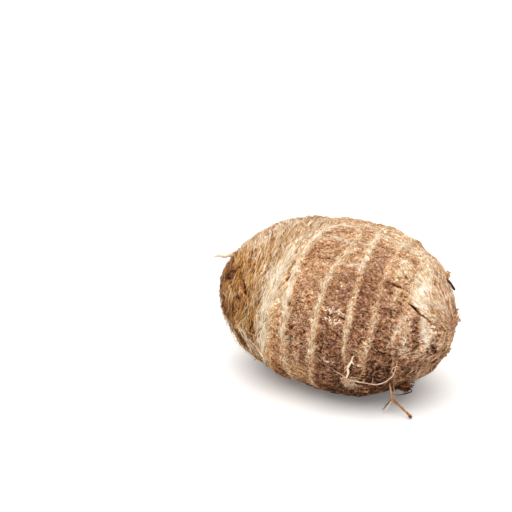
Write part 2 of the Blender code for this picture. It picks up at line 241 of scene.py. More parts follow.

# %% Soft ovals
# along, degrees round, half size along and round in mm, tone, redness, strength, rise in mm
# Where a patch sinks and turns dark, its dark tone is painted shade in the hollow.
PATCHES = (
    # painted light: the top painted paler, where the overhead light falls
    (-0.58, 10, 20, 17, 0.88, 0.6, 0.92, 0), (-0.36, 48, 5, 11, 0.8, 0.25, 0.8, 0),
    (0.05, 2, 18, 17, 0.7, 0.65, 0.9, 0), (0, 9, 3, 2.4, 0.58, 0.8, 0.75, 0),
    (0.52, -6, 12, 11, 0.8, 0.5, 0.8, 0.2), (0.87, 10, 7, 20, 0.78, 0.75, 0.8, 0),
    (0.8, -23, 4.2, 9, 0.7, 0.65, 0.9, 1.3),
    # the belly and the near underside darker: partly soil, partly painted shade
    (0.15, 180, 32, 22, 0.28, 0.7, 0.9, 0), (-0.55, 175, 16, 22, 0.36, 0.4, 0.85, 0),
    (0.44, 137, 14, 13, 0.3, 0.7, 0.95, 0), (0.62, 109, 4.8, 14, 0.38, 0.9, 0.9, 0),
    (0.28, 98, 3.8, 15, 0.46, 0.85, 0.9, 0), (0.76, 124, 5, 9, 0.43, 0.75, 0.85, 0),
    (0.86, 110, 3.8, 11, 0.8, 0.9, 0.8, 0), (0.01, 102, 3.6, 9, 0.66, 0.75, 0.75, 0),
    (0.02, 124, 4, 6, 0.78, 0.3, 0.8, 0), (-0.1, 98, 1.5, 4, 0.5, 0.8, 0.6, 0),
    # warmer and darker bark between the rings
    (0.27, 60, 3, 8, 0.5, 0.95, 0.75, 0), (0.45, 62, 2.6, 12, 0.42, 0.9, 0.85, 0),
    (0.575, 46, 2, 5, 0.5, 0.85, 0.7, 0), (0.45, 25, 2.8, 9, 0.54, 0.85, 0.75, 0),
    (0.61, 57, 3, 3.5, 0.5, 1, 0.7, 0), (0.642, 62.5, 3.3, 1.7, 0.3, 1, 0.9, -0.4),
    (0.6, 82, 3.4, 9, 0.47, 0.85, 0.8, 0), (-0.03, 28, 3.2, 7, 0.55, 0.7, 0.7, 0),
    (0.26, 30, 3.2, 5, 0.7, 0.65, 0.75, 0), (0.08, 58, 2.4, 6, 0.66, 0.7, 0.8, 0),
    (0.31, 58, 1.8, 5, 0.42, 0.95, 0.7, 0), (0.09, 107, 1.6, 4, 0.48, 0.8, 0.7, 0),
    (0.08, 84, 2.2, 5, 0.45, 0.8, 0.6, 0), (-0.065, 35, 1.8, 3.5, 0.54, 0.7, 0.75, 0),
    (-0.03, 17, 3.4, 2, 0.55, 0.8, 0.7, 0), (-0.155, 93, 1.6, 4, 0.52, 0.65, 0.7, 0),
    # the crown's tip, where the shoot broke off, and the scar at the other end
    (-1, 0, 2.6, 9, 0.26, 0.5, 0.9, -0.5), (0.94, 30, 3, 22, 0.8, 0.8, 0.7, 0),
    (1, 0, 3, 9, 0.64, 0.75, 0.85, -0.4),
    # the crown's hollows, sunk and painted dark as painted shade, and paler tufts
    (-0.64, 68, 5, 5, 0.46, 0.05, 0.8, 0), (-0.65, 101, 6, 5.5, 0.3, 0.5, 0.9, 0),
    (-0.61, 84, 3.4, 2.6, 0.72, 0.05, 0.8, 0), (-0.8, 49, 4, 4, 0.66, 0.15, 0.85, 0),
    (-0.6, 74, 2.5, 2.5, 0.62, 0.05, 0.6, 0), (-0.66, 51, 4, 4, 0.52, 0.1, 0.5, 0),
    (-0.49, 85, 3.4, 3.8, 0.36, 0.3, 0.88, 0), (-0.78, 69, 5.5, 5, 0.26, 0.35, 0.85, -0.3),
    (-0.7, 67, 2.5, 1.8, 0.02, 0.6, 1, -1.2), (-0.715, 73, 3.2, 1.9, 0.03, 0.6, 1, -1.3),
    (-0.47, 59, 1.2, 0.9, 0.06, 0.5, 1, -0.7), (-0.33, 97, 0.9, 1.4, 0.14, 0.4, 0.95, -0.5),
    (-0.37, 101, 2.4, 3, 0.42, 0.05, 0.75, 0), (-0.74, 106, 5, 5, 0.26, 0.6, 0.85, 0),
    (-0.585, 121, 6.5, 4.2, 0.04, 0.6, 1, -0.9), (-0.36, 122, 6.5, 5, 0.36, 0.1, 0.8, 0),
    (-0.36, 96, 3, 3, 0.48, 0.05, 0.6, 0), (-0.38, 120, 5, 3.2, 0.3, 0.25, 0.85, 0),
    (-0.44, 107, 2.6, 1.8, 0.74, 0.1, 0.8, 0.2), (-0.24, 119, 2.4, 2.4, 0.62, 0.2, 0.75, 0),
    (0.44, 131, 3, 3.5, 0.2, 0.8, 0.7, 0), (0.57, 131, 3, 3.5, 0.22, 0.8, 0.6, 0),
    (0.645, 108, 2.4, 4, 0.36, 0.9, 0.6, 0), (-0.36, 114, 1.6, 2.4, 0.76, 0.05, 0.7, 0.2),
    # bleached and blotched bark towards the scarred end
    (0.62, 24, 2.6, 4.5, 0.82, 0.45, 0.8, 0.1), (0.65, 13, 1.4, 1.6, 0.42, 0.7, 0.85, -0.2),
    (0.755, 15, 0.9, 0.8, 0.2, 0.6, 0.95, -0.4), (0.6, 19, 1.8, 1.5, 0.92, 0.5, 0.85, 0.1),
    (0.93, 140, 4, 18, 0.49, 0.8, 0.8, 0), (0.735, 76, 1.9, 11, 0.7, 0.9, 0.8, 0.1),
    (0.875, 95, 1.8, 6, 0.76, 0.85, 0.8, 0.1), (0.908, 103, 1.9, 2.6, 0.44, 0.9, 0.85, 0),
    (0.935, 106, 0.9, 1.2, 0.66, 0.9, 0.8, 0.1), (0.62, 55, 0.6, 0.8, 0.82, 0.5, 0.8, 0.1),
    (0.64, 46, 1.8, 2.4, 0.84, 0.4, 0.75, 0.1), (0.6, 34, 3.4, 3.2, 0.86, 0.5, 0.8, 0),
    (0.71, 72, 1.4, 2.5, 0.84, 0.6, 0.8, 0.1), (0.68, 78, 1.4, 4.5, 0.6, 0.6, 0.7, 0),
    (0.85, 40, 3, 7, 0.88, 0.4, 0.8, 0), (0.93, 72, 1.4, 4, 0.5, 0.6, 0.7, 0),
    (0.93, 87, 1.1, 2.6, 0.76, 0.5, 0.7, 0.1),
    # dark specks sunk in the net of strands: painted shade in small holes
    (0.545, 45.5, 0.7, 0.5, 0.22, 0.6, 1, -0.5), (0.58, 48, 0.6, 0.5, 0.22, 0.6, 1, -0.4),
    (0.655, 46, 0.5, 0.7, 0.22, 0.6, 1, -0.4), (0.66, 52.5, 0.9, 0.5, 0.22, 0.6, 1, -0.4),
    (0.6, 35, 0.6, 0.5, 0.22, 0.6, 1, -0.4), (0.64, 31, 0.5, 0.6, 0.22, 0.6, 1, -0.4),
    # the far side: a second bleached patch, warm bark, and hollows in the coat painted dark as painted
    # shade
    (0.76, 236, 3.5, 9, 0.88, 0.4, 0.85, 0.2), (0.86, 262, 2, 4, 0.46, 0.6, 0.8, -0.2),
    (0.43, 232, 3, 12, 0.44, 0.9, 0.75, 0), (0.26, 250, 3.2, 9, 0.48, 0.9, 0.7, 0),
    (0.6, 245, 3, 8, 0.42, 0.8, 0.75, 0), (0.05, 215, 4, 9, 0.46, 0.7, 0.7, 0),
    (-0.55, 255, 6, 7, 0.4, 0.1, 0.8, -0.2), (-0.72, 292, 2, 1.4, 0.1, 0.5, 1, -0.9),
    (-0.5, 238, 1.6, 1.3, 0.12, 0.5, 0.95, -0.7), (-0.62, 225, 5, 6, 0.72, 0.1, 0.7, 0.1),
    # paler and darker places between the rings, over the ones before
    (0.44, 95, 2, 4, 0.52, 0.7, 0.5, 0.1), (0.49, 103, 0.7, 0.9, 0.85, 0.6, 0.8, 0.2),
    (0.57, 117, 3, 4, 0.26, 0.9, 0.7, 0), (0.34, 109, 3, 4, 0.36, 0.9, 0.7, 0),
    (0.04, 37, 3.5, 4, 0.66, 0.7, 0.6, 0), (0.79, 119, 3.5, 3.5, 0.34, 0.9, 0.8, 0),
    (0, 14, 4, 5, 0.6, 0.75, 0.75, 0), (0.06, 96, 2.6, 3.5, 0.68, 0.75, 0.75, 0),
    (0.55, 105, 2.6, 5, 0.5, 0.85, 0.75, 0), (0.2, 46, 3, 3.5, 0.68, 0.7, 0.7, 0),
)

# %% Rings, from the crown to the scarred end
# tone, redness, rise in mm, hairs to a square mm, hair length in mm, degrees from the route to the
# hairs, then the route: along, degrees round, half width in mm, strength
STROKES = {
    "wide ring near the crown": (1, 0.12, 0.45, 4.4, 5, 0, (
        (-0.235, 0, 1.4, 0.15), (-0.24, 30, 1.8, 0.5), (-0.245, 45, 2.3, 0.9), (-0.25, 60, 2.7, 1),
        (-0.25, 76, 2.7, 1), (-0.235, 87, 2.1, 0.6), (-0.235, 100, 2.1, 0.66), (-0.25, 125, 1.2, 0.35),
        (-0.21, 180, 1.2, 0.4), (-0.2, 250, 1.7, 0.75), (-0.21, 310, 1.6, 0.7), (-0.235, 360, 1.4, 0.15),
    )),
    "middle ring": (0.97, 0.3, 0.45, 3.4, 3.8, 0, (
        (-0.145, 0, 1.3, 0.2), (-0.135, 20, 1.4, 0.6), (-0.13, 45, 1.1, 0.75), (-0.12, 55, 1.2, 0.9),
        (-0.1, 66, 1.5, 1), (-0.085, 76, 1.5, 1), (-0.07, 86, 1.1, 0.85), (-0.06, 100, 1.1, 0.65),
        (-0.055, 130, 1.2, 0.38), (-0.06, 180, 1.1, 0.4), (-0.08, 250, 1.2, 0.75), (-0.11, 310, 1.2, 0.7),
        (-0.145, 360, 1.3, 0.2),
    )),
    "second ring": (0.87, 0.38, 0.45, 3.4, 2.8, 0, (
        (0.16, 0, 1.3, 0.2), (0.2, 18, 1.3, 0.8), (0.19, 27, 1.4, 0.95), (0.155, 40, 1.3, 0.9),
        (0.145, 60, 1.15, 0.85), (0.15, 80, 1.15, 0.88), (0.16, 98, 1.3, 0.75), (0.155, 108, 1.1, 0.45),
        (0.15, 115, 1.1, 0.5), (0.13, 130, 1.08, 0.5), (0.15, 180, 0.96, 0.3), (0.17, 250, 1.44, 0.75),
        (0.16, 310, 1.56, 0.7), (0.16, 360, 1.44, 0.2),
    )),
    "third ring": (0.93, 0.32, 0.45, 3.6, 2.8, 0, (
        (0.3, 2, 1, 0.7), (0.32, 10, 1.1, 0.95), (0.335, 22, 0.95, 0.95), (0.34, 36, 0.85, 0.95),
        (0.35, 46, 0.8, 0.3), (0.365, 56, 0.75, 0.6), (0.37, 66, 0.85, 0.85), (0.375, 84, 0.75, 0.85),
        (0.385, 98, 0.8, 0.6), (0.385, 104, 0.8, 0.1), (0.39, 128, 0.78, 0.1), (0.37, 180, 0.78, 0.2),
        (0.36, 250, 1.01, 0.75), (0.35, 310, 1.12, 0.75), (0.3, 362, 1.01, 0.7),
    )),
    "fourth ring": (0.84, 0.55, 0.35, 2.2, 2.4, 0, (
        (0.515, 4, 0.72, 0.7), (0.51, 20, 0.47, 0.45), (0.512, 40, 0.47, 0.6), (0.512, 48, 0.47, 0.3),
        (0.525, 64, 0.75, 0.62), (0.525, 82, 0.95, 0.8), (0.51, 95, 0.9, 0.65), (0.51, 120, 0.65, 0.1),
        (0.52, 180, 0.78, 0.1), (0.53, 250, 1.04, 0.75), (0.52, 310, 1.04, 0.75), (0.515, 364, 0.72, 0.8),
    )),
    "fifth ring": (0.82, 0.45, 0.35, 2.8, 2.4, 0, (
        (0.685, 0, 0.72, 0.4), (0.685, 25, 0.72, 0.5), (0.7, 45, 0.6, 0.5), (0.695, 62, 0.6, 0.8),
        (0.69, 74, 0.72, 0.9), (0.665, 86, 0.6, 0.6), (0.69, 108, 0.6, 0.25), (0.69, 180, 0.72, 0.35),
        (0.68, 250, 0.96, 0.7), (0.69, 310, 0.96, 0.65), (0.685, 360, 0.72, 0.4),
    )),
}
CROWN_RINGS = (  # name, along, tone, strength
    ("third crown ring", -0.38, 0.74, 0.35), ("second crown ring", -0.55, 0.7, 0.3),
    ("first crown ring", -0.72, 0.66, 0.3),
)
for name, along, tone, strength in CROWN_RINGS:
    route = [(along, degrees, 1, strength) for degrees in range(0, 361, 90)]
    STROKES[name] = (tone, 0.25, 0.45, 0, 4, 0, route)

# %% Pale streaks and loose strands
STROKES |= {
    "top sweep": (0.97, 0.5, 0.3, 4.5, 4, 0, (
        (-0.135, 32, 0.9, 0.7), (-0.127, 24.7, 0.9, 0.85), (-0.112, 12, 0.8, 0.85), (-0.03, 3, 0.8, 0.85),
        (0.1, 0, 0.7, 0.8), (0.24, -1, 0.6, 0.6),
    )),
    "second top sweep": (0.92, 0.55, 0.2, 5, 3, 0, (
        (-0.08, 23.7, 0.45, 0.8), (0.012, 19, 0.45, 0.9), (0.11, 21, 0.45, 0.9), (0.25, 25.2, 0.4, 0.7),
    )),
    "third top sweep": (0.94, 0.5, 0.2, 5, 3, 0, (
        (0.2, 20, 0.4, 0.9), (0.29, 19.5, 0.4, 0.9), (0.35, 7, 0.35, 0.8), (0.42, 2, 0.35, 0.8),
    )),
    "cross bar": (0.94, 0.75, 0.25, 6, 2.6, 0, (
        (0.17, 38, 0.5, 0.75), (0.25, 38.4, 0.5, 0.95), (0.345, 37.6, 0.5, 1),
    )),
    "top ridge": (0.88, 0.45, 0.35, 2.2, 3, 0, (
        (0.3, 6, 0.8, 0.5), (0.42, 5, 1.1, 0.8), (0.5, 3, 1.5, 1), (0.66, -1, 1.6, 1), (0.72, 2, 1, 0.4),
    )),
    "forked streak": (0.88, 0.35, 0.15, 5, 1.8, 0, (
        (0.69, 24, 0.35, 0.9), (0.665, 33, 0.35, 0.9), (0.635, 40, 0.3, 0.8),
    )),
    "bleached scar": (0.97, 0.35, 0.3, 1.8, 3.6, 42, (
        (0.75, 10, 1.8, 0.8), (0.75, 24, 2.2, 0.95), (0.752, 38, 2.6, 1), (0.768, 46, 2.9, 1),
        (0.83, 53, 1.9, 0.9),
    )),
    "net strand": (0.9, 0.6, 0.15, 6, 2.2, 0, (
        (0.707, 64, 0.25, 0.9), (0.677, 75, 0.28, 0.95), (0.653, 85, 0.25, 0.9), (0.635, 92, 0.2, 0.7),
    )),
    "crossing net strand": (0.88, 0.6, 0.15, 5, 1.8, 0, (
        (0.712, 62, 0.25, 0.8), (0.735, 78, 0.3, 0.85), (0.725, 92, 0.25, 0.75), (0.7, 100, 0.2, 0.7),
    )),
    "loose strand": (0.98, 0.05, 0.2, 6, 5, 0, (
        (-0.5, 103, 0.35, 0.8), (-0.44, 112, 0.4, 0.9), (-0.38, 122, 0.35, 0.7), (-0.33, 132, 0.3, 0.8),
    )),
    "second loose strand": (0.95, 0.05, 0.2, 6, 5, 0, (
        (-0.44, 99, 0.3, 0.7), (-0.4, 107, 0.35, 0.9), (-0.36, 115, 0.3, 0.8),
    )),
    "third loose strand": (0.95, 0.05, 0.2, 6, 5, 0, (
        (-0.3, 111, 0.3, 0.7), (-0.27, 122, 0.35, 0.9), (-0.24, 134, 0.3, 0.8),
    )),
    "pale hairs below": (0.9, 0.7, 0.15, 6, 3.5, 0, ((0.81, 112, 0.11, 0.7), (0.825, 137, 0.11, 0.8))),
    "more pale hairs below": (0.8, 0.7, 0.1, 5, 3, 0, ((0.775, 114, 0.1, 0.35), (0.79, 128, 0.1, 0.35))),
    "pale hair marks": (0.78, 0.7, 0.1, 6, 1.4, 0, (
        (0.235, 103, 0.25, 0.8), (0.3, 105, 0.3, 0.9), (0.33, 104, 0.2, 0.8),
    )),
    "white flake of cork": (1, 0.75, 0.2, 2.5, 1.4, 40, (
        (0.825, 65, 1, 0.9), (0.838, 72, 1.6, 1), (0.857, 81, 1.8, 1), (0.852, 91, 1.3, 0.6),
    )),
}

# %% Cracks, gashes and hollows, which carry no hairs
# The dark tones of these cracks, gashes and hollows are painted shade in them.
HOLLOWS = {  # tone, redness, rise in mm, route
    "brown strip": (0.32, 0.85, -0.2, (
        (0.785, 62, 0.7, 0.8), (0.782, 71, 1.2, 0.95), (0.8, 80, 1.2, 0.85), (0.8, 91, 1.2, 0.75),
        (0.785, 98, 0.8, 0.3),
    )),
    "hollow in the coat": (0.05, 0.55, -0.9, (
        (-0.555, 69, 0.45, 0.9), (-0.51, 73.5, 0.95, 1), (-0.465, 77.5, 0.6, 1),
    )),
    "dark net line": (0.36, 0.6, -0.2, (
        (0.675, 23, 0.3, 0.85), (0.685, 30, 0.3, 0.85), (0.655, 37, 0.3, 0.85), (0.66, 46, 0.25, 0.8),
    )),
    "dark slit": (0.14, 0.4, -0.6, (
        (-0.166, 44, 0.2, 0.8), (-0.165, 53, 0.32, 1), (-0.15, 61, 0.2, 0.9),
    )),
    "pit beside the middle ring": (0.08, 0.5, -0.8, ((-0.072, 71, 0.4, 1), (-0.066, 74, 0.35, 1))),
    "top gash": (0.18, 0.6, -0.5, ((-0.345, 3, 0.3, 0.8), (-0.31, 11, 0.3, 0.9))),
    "short gashes": (0.14, 0.7, -0.35, ((-0.005, 38.3, 0.25, 0.9), (0.035, 37.4, 0.3, 0.9))),
    "second short gash": (0.18, 0.7, -0.3, ((0.055, 36.2, 0.22, 0.8), (0.1, 35.4, 0.25, 0.8))),
    "hollow by the crumbs": (0.03, 0.75, -0.7, ((0.222, 73, 0.3, 1), (0.245, 72, 0.28, 1))),
    "second hollow": (0.05, 0.75, -0.6, ((0.285, 73.5, 0.16, 0.9), (0.335, 73, 0.26, 1))),
    "third hollow": (0.08, 0.75, -0.5, ((0.305, 69.5, 0.2, 0.9), (0.33, 69, 0.3, 1))),
    "small crack": (0.1, 0.7, -0.5, (
        (0.53, 41.4, 0.22, 0.8), (0.56, 40.8, 0.32, 0.9), (0.6, 40.9, 0.36, 1), (0.625, 40.6, 0.45, 1),
        (0.64, 40.4, 0.2, 0.9),
    )),
    "crack on the far side": (0.06, 0.6, -0.9, (
        (0.6, 272, 0.14, 0.8), (0.66, 266, 0.32, 1), (0.72, 258, 0.26, 1), (0.8, 252, 0.12, 0.7),
    )),
    "dark rim of a pit": (0.2, 0.8, -0.35, (
        (0.893, 96, 0.25, 0.9), (0.903, 102, 0.5, 1), (0.915, 106, 0.55, 1), (0.915, 111, 0.35, 0.9),
    )),
    "long crack": (0.03, 0.6, -1.3, (
        (0.705, 50, 0.14, 0.8), (0.73, 51.5, 0.38, 1), (0.765, 54, 0.42, 1), (0.795, 56.5, 0.25, 1),
        (0.85, 60, 0.13, 0.85), (0.89, 66, 0.12, 0.6),
    )),
}
for name, (tone, redness, rise, route) in HOLLOWS.items():
    STROKES[name] = (tone, redness, rise, 0, 0, 0, route)
print(len(PATCHES), "patches,", len(STROKES), "strokes")

# %% Soft ovals, strokes and ripples as functions of place
HALF_LENGTH = CORM_LENGTH / 2 / MM
radius_mm = np.maximum(body_radius(ALONG), 1.0 * MM) / MM


def offset_mm(along, degrees, from_along, from_degrees, radius):
    """How far a place lies from another along the bark, and round it the short way, in mm."""
    turned = (degrees - from_degrees + 180) % 360 - 180
    return (along - from_along) * HALF_LENGTH, np.radians(turned) * radius


def ripple(places, wavelength, seed, waves=28):
    """Smooth random heights of about unit size: the sum of plane waves cos(k.p + phase) in random
    directions, with wavelengths within a third of the one given, times sqrt(2 / their number)."""
    dice = np.random.default_rng(seed)
    directions = unit(dice.normal(size=(waves, 3)))
    lengths = wavelength * dice.uniform(0.7, 1.35, (waves, 1))
    phases = dice.uniform(0, TAU, waves)
    return np.cos(places @ (directions * TAU / lengths).T + phases).sum(axis=-1) * math.sqrt(2 / waves)


def oval(along, degrees, radius, patch):
    """A soft oval: exp(-q**1.5), q the squared distance over the squared half sizes."""
    across, round_about = offset_mm(along, degrees, patch[0], patch[1], radius)
    q = (across / patch[2]) ** 2 + (round_about / patch[3]) ** 2
    return np.exp(-(q**1.5))


def between(start, end, share):
    """A stroke's half width and strength, this share of the way from one of its places to the next."""
    return (start[i] + (end[i] - start[i]) * share for i in (2, 3))


def stroke(along, degrees, radius, route, fray):
    """A stroke's cover: over each straight span of its route, strength * exp(-(d / half width)**3) for
    the distance d to the span, made uneven by `fray`, and the most of these."""
    cover = np.zeros_like(along)
    for start, end in zip(route, route[1:]):
        x, y = offset_mm(along, degrees, start[0], start[1], radius)
        span_x = (end[0] - start[0]) * HALF_LENGTH
        span_y = np.radians(end[1] - start[1]) * radius
        share = np.clip((x * span_x + y * span_y) / (span_x**2 + span_y**2), 0, 1)
        gap = np.hypot(x - share * span_x, y - share * span_y)
        half_width, strength = between(start, end, share)
        cover = np.maximum(cover, strength * np.exp(-((gap * fray / half_width) ** 3)))
    return cover


def fade(values, start, over):
    """0 up to `start`, rising evenly to 1 over the next `over`. A negative `over` fades the other way."""
    return np.clip((values - start) / over, 0, 1)


# %% Tone, redness and rise of the ground, the ovals and the strokes
ROLLED_RADIUS = 30  # mm, of the plain cylinder that the bark is rolled out on
rolled_out = [ALONG * HALF_LENGTH, ROLLED_RADIUS * np.sin(AROUND), ROLLED_RADIUS * np.cos(AROUND)]
GRAIN = np.stack(rolled_out, axis=-1)
bare_mm = bare / MM


def layers(*rows):
    """The sum of swing * ripple over the bark, for rows of (swing, size in mm, seed)."""
    return sum(swing * ripple(bare_mm, size, seed) for swing, size, seed in rows)


fray = np.exp(layers((0.22, 2.2, 11), (0.16, 5.0, 12)))
ground = np.array(GROUND)
TONE, REDNESS = (np.interp(ALONG, ground[:, 0], ground[:, column]) for column in (1, 2))
RISE = layers((0.28, 11, 13), (0.12, 4.2, 14), (0.06, 1.9, 15))
TONE += layers((0.035, 13, 16), (0.03, 5, 17))
PALE = np.zeros_like(TONE)  # how much of each place is a pale ring or streak
for patch in PATCHES:
    tone, redness, strength, rise = patch[4:]
    cover = oval(ALONG, DEGREES, radius_mm, patch) * strength
    TONE += (tone - TONE) * cover
    REDNESS += (redness - REDNESS) * cover
    RISE += rise * cover
for tone, redness, rise, hairs, _, _, route in STROKES.values():
    cover = stroke(ALONG, DEGREES, radius_mm, route, fray if rise > 0 else 1.0)
    if hairs > 0:
        PALE = np.maximum(PALE, cover)
    TONE += (tone - TONE) * cover
    REDNESS += (redness - REDNESS) * cover
    RISE += rise * np.clip(cover * 1.2, 0, 1)  # a ring's top is a little flat

# A ring is the torn edge of a leaf base, so the bark drops a little on its scarred side, and is painted
# darker there, as painted shade beside the ring.
EDGE_FROM_RING = 2.1  # mm
RING_EDGE_SHADE = 0.085
EDGE_DROP = 0.12  # mm
for name in ("middle ring", "second ring", "third ring", "fourth ring"):
    edge = stroke(ALONG - EDGE_FROM_RING / HALF_LENGTH, DEGREES, radius_mm, STROKES[name][6], fray)
    TONE -= RING_EDGE_SHADE * edge
    RISE -= EDGE_DROP * edge
print(f"pale rings and streaks cover {(PALE > 0.5).mean():.0%} of the grid")

# %% Where the felt is open, rough or pitted
# The felt is close on the top and opens lower down, where its ground shows between the fibres, painted
# darker as painted shade.
BELOW = np.abs(DEGREES - np.where(DEGREES > 180, 360, 0))  # degrees from the top, either way
OPEN = np.maximum(fade(BELOW, 50, 40), fade(ALONG, 0.74, 0.10)) * fade(ALONG, -0.2, 0.15)
OPEN = OPEN * np.interp(ALONG, [0.90, 0.97], [1.0, 0.3])
FLECK_SWING, OPEN_SWING, ROUGH_SWING = 0.055, 0.035, 0.10  # of the tone
TONE += (FLECK_SWING + OPEN_SWING * OPEN) * ripple(bare_mm, 1.5, 18)
rough = fade(ALONG, 0.48, 0.1) * fade(BELOW, 36, 15) * np.interp(BELOW, [100, 120], [1.0, 0.5])
rough *= 1 - fade(ALONG, 0.68, 0.05) * fade(BELOW, 68, -8)
TONE += ROUGH_SWING * rough * ripple(bare_mm, 1.3, 20)

# Pits sink into the open felt and are painted darker, as painted shade in them.
PIT_SHADE, PIT_DEPTH = 0.32, 0.30  # tone, mm
pits = fade(ripple(bare_mm, 1.7, 19), 1.1, 1) * OPEN * np.clip(1.2 - 2.0 * PALE, 0, 1)
pits *= np.interp(BELOW, [96, 118], [1.0, 0.4])
TONE -= PIT_SHADE * pits
RISE -= PIT_DEPTH * pits

# In the coat the tufts part here and there, over narrow gaps that lie the way the fibres do. The gaps
# sink and are painted darker, as painted shade in them.
GAP_SHADE, GAP_DEPTH = 0.50, 0.25
GAP_STRETCH = 0.45  # round the root, which makes them longer that way
gap_places = np.stack([ALONG * HALF_LENGTH, *(bare_mm[..., i] * GAP_STRETCH for i in (1, 2))], axis=-1)
gaps = fade(ripple(gap_places, 1.5, 21), 1.15, 1) * fade(ALONG, -0.27, -0.06)
TONE -= GAP_SHADE * gaps
RISE -= GAP_DEPTH * gaps

# Painted shade: the underside is painted darker between the rings, where less light falls.
UNDERSIDE_SHADE = 0.06  # the underside, between the rings
TONE -= UNDERSIDE_SHADE * fade(BELOW, 88, 34) * np.clip(1.2 - 3.0 * PALE, 0, 1) * (ALONG > -0.9)
ends = np.clip((1 - ALONG**2) * 8, 0, 1)  # no rise right at the two poles
SKIN = bare + OUTWARD * (RISE * ends * MM)[..., None]
SKIN[..., 2] = np.maximum(SKIN[..., 2], BELLY)
print(f"tone {TONE.min():.2f} to {TONE.max():.2f}, rise {RISE.min():.2f} to {RISE.max():.2f} mm")

# %% [markdown]
# ## Bark
# Dry corm bark is cork under a felt of broken fibre: dull, never shiny, flecked at half a millimetre and
# streaked where fibres lie side by side. Its colours run from soil brown through tan to bleached cream,
# once in a golden kind and once in a redder kind, so two ramps hold them. The felt's flecks are noise on
# the bark's own rolled-out places, so that they follow it round without a seam.

# %% The two ramps of dry fibre
GOLDEN = (
    (0.00, "#21140a"),
    (0.15, "#4a2b12"),
    (0.30, "#7d4a1b"),
    (0.45, "#aa6e32"),
    (0.60, "#ca9650"),
    (0.75, "#e2ba7f"),
    (0.88, "#f2ddb6"),
    (1.00, "#fff9ec"),
)
REDDISH = (
    (0.00, "#1f110a"),
    (0.15, "#4a2d1e"),
    (0.30, "#734a34"),
    (0.45, "#9c6e54"),
    (0.60, "#bf9477"),
    (0.75, "#dcb799"),
    (0.88, "#efdabf"),
    (1.00, "#fcf2e5"),
)


def fibre_colour(tree, tone, redness):
    """The colour of dry fibre of this tone: the golden and the reddish ramp, mixed by the redness."""
    golden = add_node(tree, "ShaderNodeValToRGB", {"Fac": tone})
    reddish = add_node(tree, "ShaderNodeValToRGB", {"Fac": tone})
    ends = {0: redness, 6: colour_stops(golden, GOLDEN), 7: colour_stops(reddish, REDDISH)}
    return add_node(tree, "ShaderNodeMix", ends, data_type="RGBA").outputs[2]


# %% A flecked and streaked dry skin, dull
def flecked_look(name, fleck_mm, mottle_mm, streak_mm, swings, bump_mm):
    """Dry plant skin: the tone attribute, varied by flecks, by mottles and by streaks of this width and
    length, each swinging the tone by so much, gives the colour. Flecks and streaks also stand proud."""
    material, tree, shader = new_material(name)
    marks = (("tone", "Fac"), ("redness", "Fac"), ("grain", "Vector"))
    tone, redness, grain = (
        add_node(tree, "ShaderNodeAttribute", attribute_name=mark).outputs[kind] for mark, kind in marks
    )
    streak_width, streak_length = streak_mm
    stretch = {"Vector": grain, "Scale": (streak_width / streak_length, 1, 1)}
    drawn_out = add_node(tree, "ShaderNodeMapping", stretch).outputs["Vector"]
    patterns = ((grain, fleck_mm, 2), (grain, mottle_mm, 3), (drawn_out, streak_width, 2))
    noises = []
    for places, size, detail in patterns:
        noise = {"Vector": places, "Scale": 1 / size, "Detail": detail}
        noises.append(add_node(tree, "ShaderNodeTexNoise", noise).outputs["Fac"])

    def swung(value, patterns, amounts):
        """value + (pattern - 0.5) * amount for each pattern, as nodes."""
        for pattern, amount in zip(patterns, amounts):
            swing = {0: pattern, 1: amount, 2: -amount / 2}
            swing = add_node(tree, "ShaderNodeMath", swing, operation="MULTIPLY_ADD").outputs[0]
            value = add_node(tree, "ShaderNodeMath", {0: value, 1: swing}, operation="ADD").outputs[0]
        return value

    colour = fibre_colour(tree, swung(tone, noises, swings), redness)
    tree.links.new(colour, shader.inputs["Base Color"])
    flecks, _, streaks = noises
    height = swung(tone, (flecks, streaks), (1.0, 0.8))
    relief = {"Height": height, "Strength": 0.7, "Distance": bump_mm * MM}
    bump = add_node(tree, "ShaderNodeBump", relief)
    tree.links.new(bump.outputs["Normal"], shader.inputs["Normal"])
    shader.inputs["Roughness"].default_value = 0.9
    shader.inputs["Specular IOR Level"].default_value = 0.12
    return material


# Broken bits of fibre are half a millimetre, tufts of them under two, and fibres lie side by side.
bark_look = flecked_look(
    "fibrous cork bark", fleck_mm=0.55, mottle_mm=1.7, streak_mm=(0.45, 1.6), swings=(1.05, 0.60, 0.3),
    bump_mm=0.25,
)


def set_marks(piece, tone, redness, grain):
    """The three attributes that a flecked look reads, one value a corner."""
    for name, values in (("tone", tone), ("redness", redness)):
        marks = piece.data.attributes.new(name, "FLOAT", "POINT")
        marks.data.foreach_set("value", np.asarray(values, np.float32))
    marks = piece.data.attributes.new("grain", "FLOAT_VECTOR", "POINT")
    marks.data.foreach_set("vector", np.asarray(grain, np.float32).ravel())


# %% Faces and maps of closed skins made of rings
def ring_faces(shapes, rings, sides):
    """Corner numbers of closed skins, each listed as its root tip, its rings, its far tip: quads between
    the rings, and a fan of triangles to each tip."""
    first = np.arange(shapes)[:, None, None] * (rings * sides + 2)
    number = first + 1 + np.arange(rings * sides).reshape(1, rings, sides)
    after = np.roll(number, -1, axis=2)
    quads = np.stack([number[:, :-1], after[:, :-1], after[:, 1:], number[:, 1:]], axis=-1)
    root_tip = np.broadcast_to(first[:, 0], (shapes, sides))
    far_tip = root_tip + rings * sides + 1
    root_fan = np.stack([root_tip, after[:, 0], number[:, 0]], axis=-1)
    far_fan = np.stack([far_tip, number[:, -1], after[:, -1]], axis=-1)
    return [quads.reshape(-1, 4), root_fan.reshape(-1, 3), far_fan.reshape(-1, 3)]


